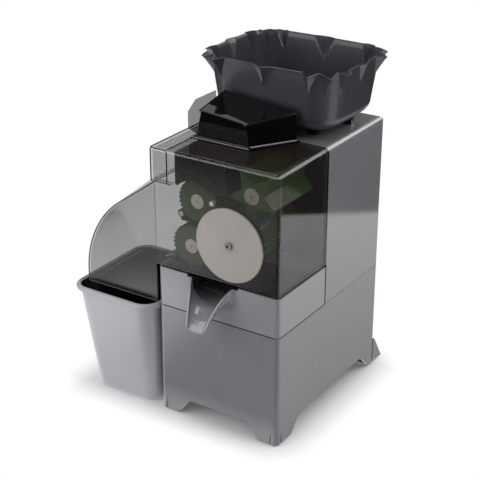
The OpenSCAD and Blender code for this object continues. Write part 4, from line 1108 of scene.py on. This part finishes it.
@dataclass
class ChuteEdges:
    """Rounded edges and feet of the chute, pale tubes painted as highlights along its front flange
    and its right foot, and the clips of its lid.
    """

    foot: tuple[Point, ...] = ((-83.0, -90.0, 450.0), (13.0, -90.0, 450.0), (55.0, -22.6, 450.0))
    flange: float = 6.0
    flange_t: float = 2.5
    lid_front: tuple[Point, Point] = ((-74.5, -91.5, 495.4), (9.5, -91.5, 487.6))
    lid_back: tuple[Point, Point] = ((54.0, -21.1, 496.7), (-74.5, -21.1, 508.6))

    def build(self, palette: Palette) -> None:
        """Builds the edges of the chute and of its lid.

        Args:
            palette: Finishes to dress them from.
        """
        f = self.flange
        left, middle, right = self.foot
        z = left[2] + self.flange_t
        start, end, front = left[0] - f, middle[0] + f * 0.6, left[1] - f
        walls = [
            [(left[0], left[1] - 0.8, z + 0.6), (middle[0], middle[1] - 0.8, z + 0.6)],
            [(start, front, z - 0.4), (end, front, z - 0.4)],
        ]
        Trim("chute_edges", "cover", "smoked_dark", 1.2, walls, "black_plastic").build(palette)
        # painted highlight: a pale tube along the flange's front edge
        lip = [(start, front - 0.4, z + 0.2), (end, front - 0.4, z + 0.2)]
        Trim("chute_front_painted_highlight", "cover", "tray_grey", 0.55, [lip]).build(palette)
        # painted highlight: a pale tube along the right wall's foot
        foot_z = z + 0.6
        foot = [
            (middle[0] + 1.6, middle[1] + 1.0, foot_z),
            (right[0] + 0.6, right[1] - 1.6, foot_z),
        ]
        Trim("chute_foot_painted_highlight", "cover", "bin_grey", 0.85, [foot]).build(palette)
        a, b = self.lid_front
        c, d = self.lid_back
        rim = [between(a, b, 2), between(b, c, 2), between(a, d, 2)]
        Trim("lid_edges", "lid", "smoked_dark", 0.8, rim).build(palette)
        clips = [
            [(a[0] + 1.0, a[1] + 0.6, a[2] - 1.2), (a[0] + 5.0, a[1] + 0.6, a[2] - 1.5)],
            [(b[0] - 5.0, b[1] + 0.6, b[2] - 0.7), (b[0] - 1.0, b[1] + 0.6, b[2] - 1.2)],
        ]
        Trim("lid_clips", "lid", "black_plastic", 1.7, clips).build(palette)


@dataclass
class BodySeams:
    """Dark seals that show between the housings and the tray."""

    right: float = 110.0
    front: float = -159.0
    inset: float = 0.9
    corner: float = 8.0
    corner_steps: int = 8
    tray_back: float = -20.6
    low: float = 189.72
    back_inset: tuple[float, float] = (2.5, 0.8)
    back_low: float = 191.5
    high: float = 258.0

    def build(self, palette: Palette) -> None:
        """Builds the seals.

        Args:
            palette: Finishes to dress them from.
        """
        x, y, r = self.right - self.inset, self.front + self.inset, self.corner
        steps = self.corner_steps
        round_corner = [
            (x - r + r * math.cos(t), y + r - r * math.sin(t), self.low)
            for t in (math.pi / 2 * (1 - k / steps) for k in range(steps + 1))
        ]
        under = [(-x + r, y, self.low), *round_corner, (x, self.tray_back, self.low)]
        Trim("tray_seam", "body", "rubber", 1.3, [under]).build(palette)
        back_x, back_y = self.right - self.back_inset[0], self.tray_back + self.back_inset[1]
        upright = [(back_x, back_y, self.back_low), (back_x, back_y, self.high)]
        Trim("tray_back_seam", "body", "rubber", 3.0, [upright]).build(palette)


@dataclass(frozen=True)
class PhotoCamera:
    """Camera at the photograph's place."""

    spot: Point = (1.040543, -1.564029, 1.104768)
    azimuth: float = 33.1979
    elevation: float = 24.4557
    lens: float = 95.077

    def build(self) -> None:
        """Makes the camera and gives it to the scene."""
        a, e = math.radians(self.azimuth), math.radians(self.elevation)
        back = Vector((math.sin(a) * math.cos(e), -math.cos(a) * math.cos(e), math.sin(e)))
        right = Vector((math.cos(a), math.sin(a), 0.0))
        up = back.cross(right)
        data = bpy.data.cameras.new("photo_camera")
        data.sensor_width = 36.0
        data.lens = self.lens
        data.clip_start = 0.05
        item = bpy.data.objects.new("photo_camera", data)
        turn = Matrix((right, up, back)).transposed().to_4x4()
        item.matrix_world = Matrix.Translation(Vector(self.spot)) @ turn
        bpy.context.scene.collection.objects.link(item)
        bpy.context.scene.camera = item


@dataclass
class Studio:
    """White surroundings, a pale floor that keeps the shadow, a card and soft lamps, in metres.

    The camera sees floor and surroundings white. Polished faces mirror them dimmer, with the floor
    bright (sheen) inside the lines edge, left_end and front_end, and less so where the fade, far,
    side and sheen_spot values say; the side values paint a shadow of the juicer beside its right
    side into these reflections. The card behind shows in the polished tops alone.
    """

    floor_half: float = 3.0
    reach: float = 9.0
    edge: Point = (0.627, 0.779, 0.895)
    edge_soft: float = 0.02
    left_end: float = -0.95
    front_end: float = -1.12
    front_soft: float = 0.45
    fore_line: float = -0.17
    fade_start: float = -0.35
    fade_width: float = 0.3
    fade_share: float = 0.85
    far_line: float = -0.45
    far_share: float = 0.42
    side_near: float = 0.19
    side_far: float = 0.65
    side_share: float = 0.55
    dim: float = 0.03
    glow: float = 0.05
    footprint: Area = (-0.19, 0.184, -0.15, 0.168)
    shadow_reach: float = 0.05
    sheen: float = 2.1
    sheen_spot: Area = (-0.42, -0.06, -0.62, -0.17)
    card: Point = (-1.35, 1.9, 1.75)
    card_size: tuple[float, float] = (1.5, 1.6)
    card_dim: float = 0.14
    card_bright: float = 1.7
    card_change: float = 1.9
    aim: Point = (0.0, 0.0, 0.28)

    def _world(self) -> None:
        """Makes the surroundings: white to the camera, dimmer as light and in reflections."""
        world = bpy.data.worlds.new("studio")
        world.use_nodes = True
        g = Graph("studio_light", world.node_tree)
        soft = g.background((0.95, 0.96, 1.0), 0.5)
        shine = g.background((0.9, 0.93, 1.0), self.dim)
        white = g.background(WHITE, 1.0)
        seen = g.mixed(g.ray("Is Glossy Ray"), soft, shine)
        seen = g.mixed(g.ray("Is Transmission Ray"), seen, white)
        seen = g.mixed(g.ray("Is Camera Ray"), seen, white)
        g.close(seen, "ShaderNodeOutputWorld")
        bpy.context.scene.world = world

    def _lit(self, g: Graph) -> Signal:
        """Finds how bright polished faces mirror each place of the floor.

        Args:
            g: Graph of the floor.

        Returns:
            1 where they mirror it bright, 0 where they mirror it dark.
        """
        across, along = g.axis("X"), g.axis("Y")
        ax, ay, far = self.edge
        lit = ((far - (across * ax + along * ay)) * (1.0 / self.edge_soft) + 0.5).held()
        lit = lit * ((across - self.left_end) * 10.0).held()
        lit = lit * ((along - self.front_end) * (1.0 / self.front_soft)).held()
        faded = ((across - self.fade_start) * (1.0 / self.fade_width)).held(0.0, self.fade_share)
        lit = lit * (1.0 - faded * ((self.fore_line - along) * 20.0).held())
        lit = lit * (1.0 - self.far_share * ((self.far_line - along) * 5.0).held())
        # painted shadow: the floor beside the juicer's right side is mirrored darker, as if its
        # shadow lay there
        side_width = self.side_far - self.side_near
        beside = ((self.side_far - across) * (1.0 / side_width)).held()
        beside = beside * ((across - self.side_near) * 50.0 + 1.0).held()
        lit = lit * (1.0 - self.side_share * beside)
        left, right, front, back = self.sheen_spot
        spot = ((across - left) * 8.0).held() * ((right - across) * 8.0).held()
        spot = spot * ((along - front) * 8.0).held() * ((back - along) * 20.0).held()
        return lit * (spot * 0.5 + 0.5)

    def _clear(self, g: Graph) -> Signal:
        """Finds how far each place of the floor is out of the juicer's shadow.

        Args:
            g: Graph of the floor.

        Returns:
            0 under the juicer, 1 beyond the shadow's reach.
        """
        across, along = g.axis("X"), g.axis("Y")
        left, right, front, back = self.footprint
        away = (left - across).held(0.0, self.reach) + (across - right).held(0.0, self.reach)
        away = away + (front - along).held(0.0, self.reach) + (along - back).held(0.0, self.reach)
        return (away * (1.0 / self.shadow_reach)).held()

    def _floor(self) -> None:
        """Makes the floor, which keeps the juicer's shadow."""
        g = Graph("floor_white")
        cloth = g.node("ShaderNodeBsdfDiffuse", {}, {"Color": (0.86, 0.86, 0.86)})
        near = g.node("ShaderNodeAddShader", {}, {0: cloth, 1: g.glow(self.glow)})
        seen = g.mixed(self._clear(g), near, g.glow(1.0))
        mirrored = g.mixed(self._lit(g), g.glow(self.dim), g.glow(self.sheen))
        other = g.mixed(g.ray("Is Glossy Ray"), cloth, mirrored)
        material = g.close(g.mixed(g.ray("Is Camera Ray"), other, seen))
        h = self.floor_half
        corners = [(-h, -h, 0.0), (h, -h, 0.0), (h, h, 0.0), (-h, h, 0.0)]
        self._sheet("studio_floor", corners, material)

    def _card(self) -> None:
        """Makes the pale card behind the juicer, which only shows in its glossy tops."""
        g = Graph("card_white")
        rise = ((g.axis("Z") - self.card_change) * 4.0).held()
        pale = g.mixed(rise, g.glow(self.card_dim), g.glow(self.card_bright))
        clear = g.node("ShaderNodeBsdfTransparent", {}, {"Color": WHITE})
        material = g.close(g.mixed(g.ray("Is Glossy Ray"), clear, pale))
        middle = Vector(self.card)
        side = Vector((middle.y, -middle.x, 0.0)).normalized() * self.card_size[0]
        up = Vector((0.0, 0.0, self.card_size[1]))
        corners = [middle - side - up, middle + side - up, middle + side + up, middle - side + up]
        self._sheet("studio_card", corners, material)

    def _sheet(
        self, name: str, corners: Sequence[Point | Vector], material: bpy.types.Material
    ) -> None:
        """Adds one flat sheet of the studio.

        Args:
            name: Name of the sheet.
            corners: Its four corners in metres, in order.
            material: Its material.
        """
        mesh = bpy.data.meshes.new(name)
        mesh.from_pydata(corners, [], [(0, 1, 2, 3)])
        mesh.materials.append(material)
        item = bpy.data.objects.new(name, mesh)
        bpy.context.scene.collection.objects.link(item)

    def _lamp(self, name: str, spot: Point, size: tuple[float, float], power: float) -> None:
        """Adds one soft lamp that points at the juicer.

        Args:
            name: Name of the lamp.
            spot: Its place in metres.
            size: Its width and height in metres.
            power: Its power in watts.
        """
        data = bpy.data.lights.new(name, "AREA")
        data.shape = "RECTANGLE"
        data.size, data.size_y = size
        data.energy = power
        item = bpy.data.objects.new(name, data)
        item.location = Vector(spot)
        way = Vector(self.aim) - item.location
        item.rotation_euler = way.to_track_quat("-Z", "Y").to_euler()
        bpy.context.scene.collection.objects.link(item)

    def build(self) -> None:
        """Builds the studio."""
        bpy.context.scene.view_settings.view_transform = "Standard"
        self._world()
        self._floor()
        self._card()
        self._lamp("key_lamp", (0.9, 0.2, 1.1), (0.5, 0.6), 3.1)
        self._lamp("fill_lamp", (-0.85, -1.2, 0.75), (1.4, 1.3), 10.0)
        self._lamp("top_lamp", (-0.15, 0.1, 2.4), (1.45, 1.5), 17.0)
        self._lamp("rim_lamp", (0.75, 1.45, 1.25), (0.9, 0.7), 5.0)


@dataclass
class Frame:
    """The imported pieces, dressed by the record's slots, or by finishes where it names them."""

    record: dict
    nodes: dict[str, bpy.types.Object]
    finishes: dict[str, str] = field(
        default_factory=lambda: {
            "pulp_filter": "filter_dark",
            "guide_screw": "dark_plastic",
            "upper_cap": "cap_bright",
            "lower_cap": "cap_bright",
            "scraper_pin": "cap_bright",
        }
    )

    def build(self, palette: Palette) -> None:
        """Dresses every piece of the frame.

        Args:
            palette: Finishes to dress them from.
        """
        slots = {part["node"]: part["material_slot"] for part in self.record["subparts"]}
        for name, item in self.nodes.items():
            finish = self.finishes.get(name, slots[name])
            palette.dress(item, finish)
            LOG.info("%s: %s", name, finish)


def main() -> None:
    """Builds the whole picture, piece by piece."""
    logging.basicConfig(level=logging.INFO, format="%(name)s: %(message)s")
    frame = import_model()
    PhotoCamera().build()
    Studio().build()
    palette = Palette()
    palette.build()
    Frame(frame["record"], frame["nodes"]).build(palette)
    Basket().build(palette)
    PeelBin().build(palette)
    CoverEdges().build(palette)
    ChuteEdges().build(palette)
    BodySeams().build(palette)


if __name__ == "__main__":
    main()
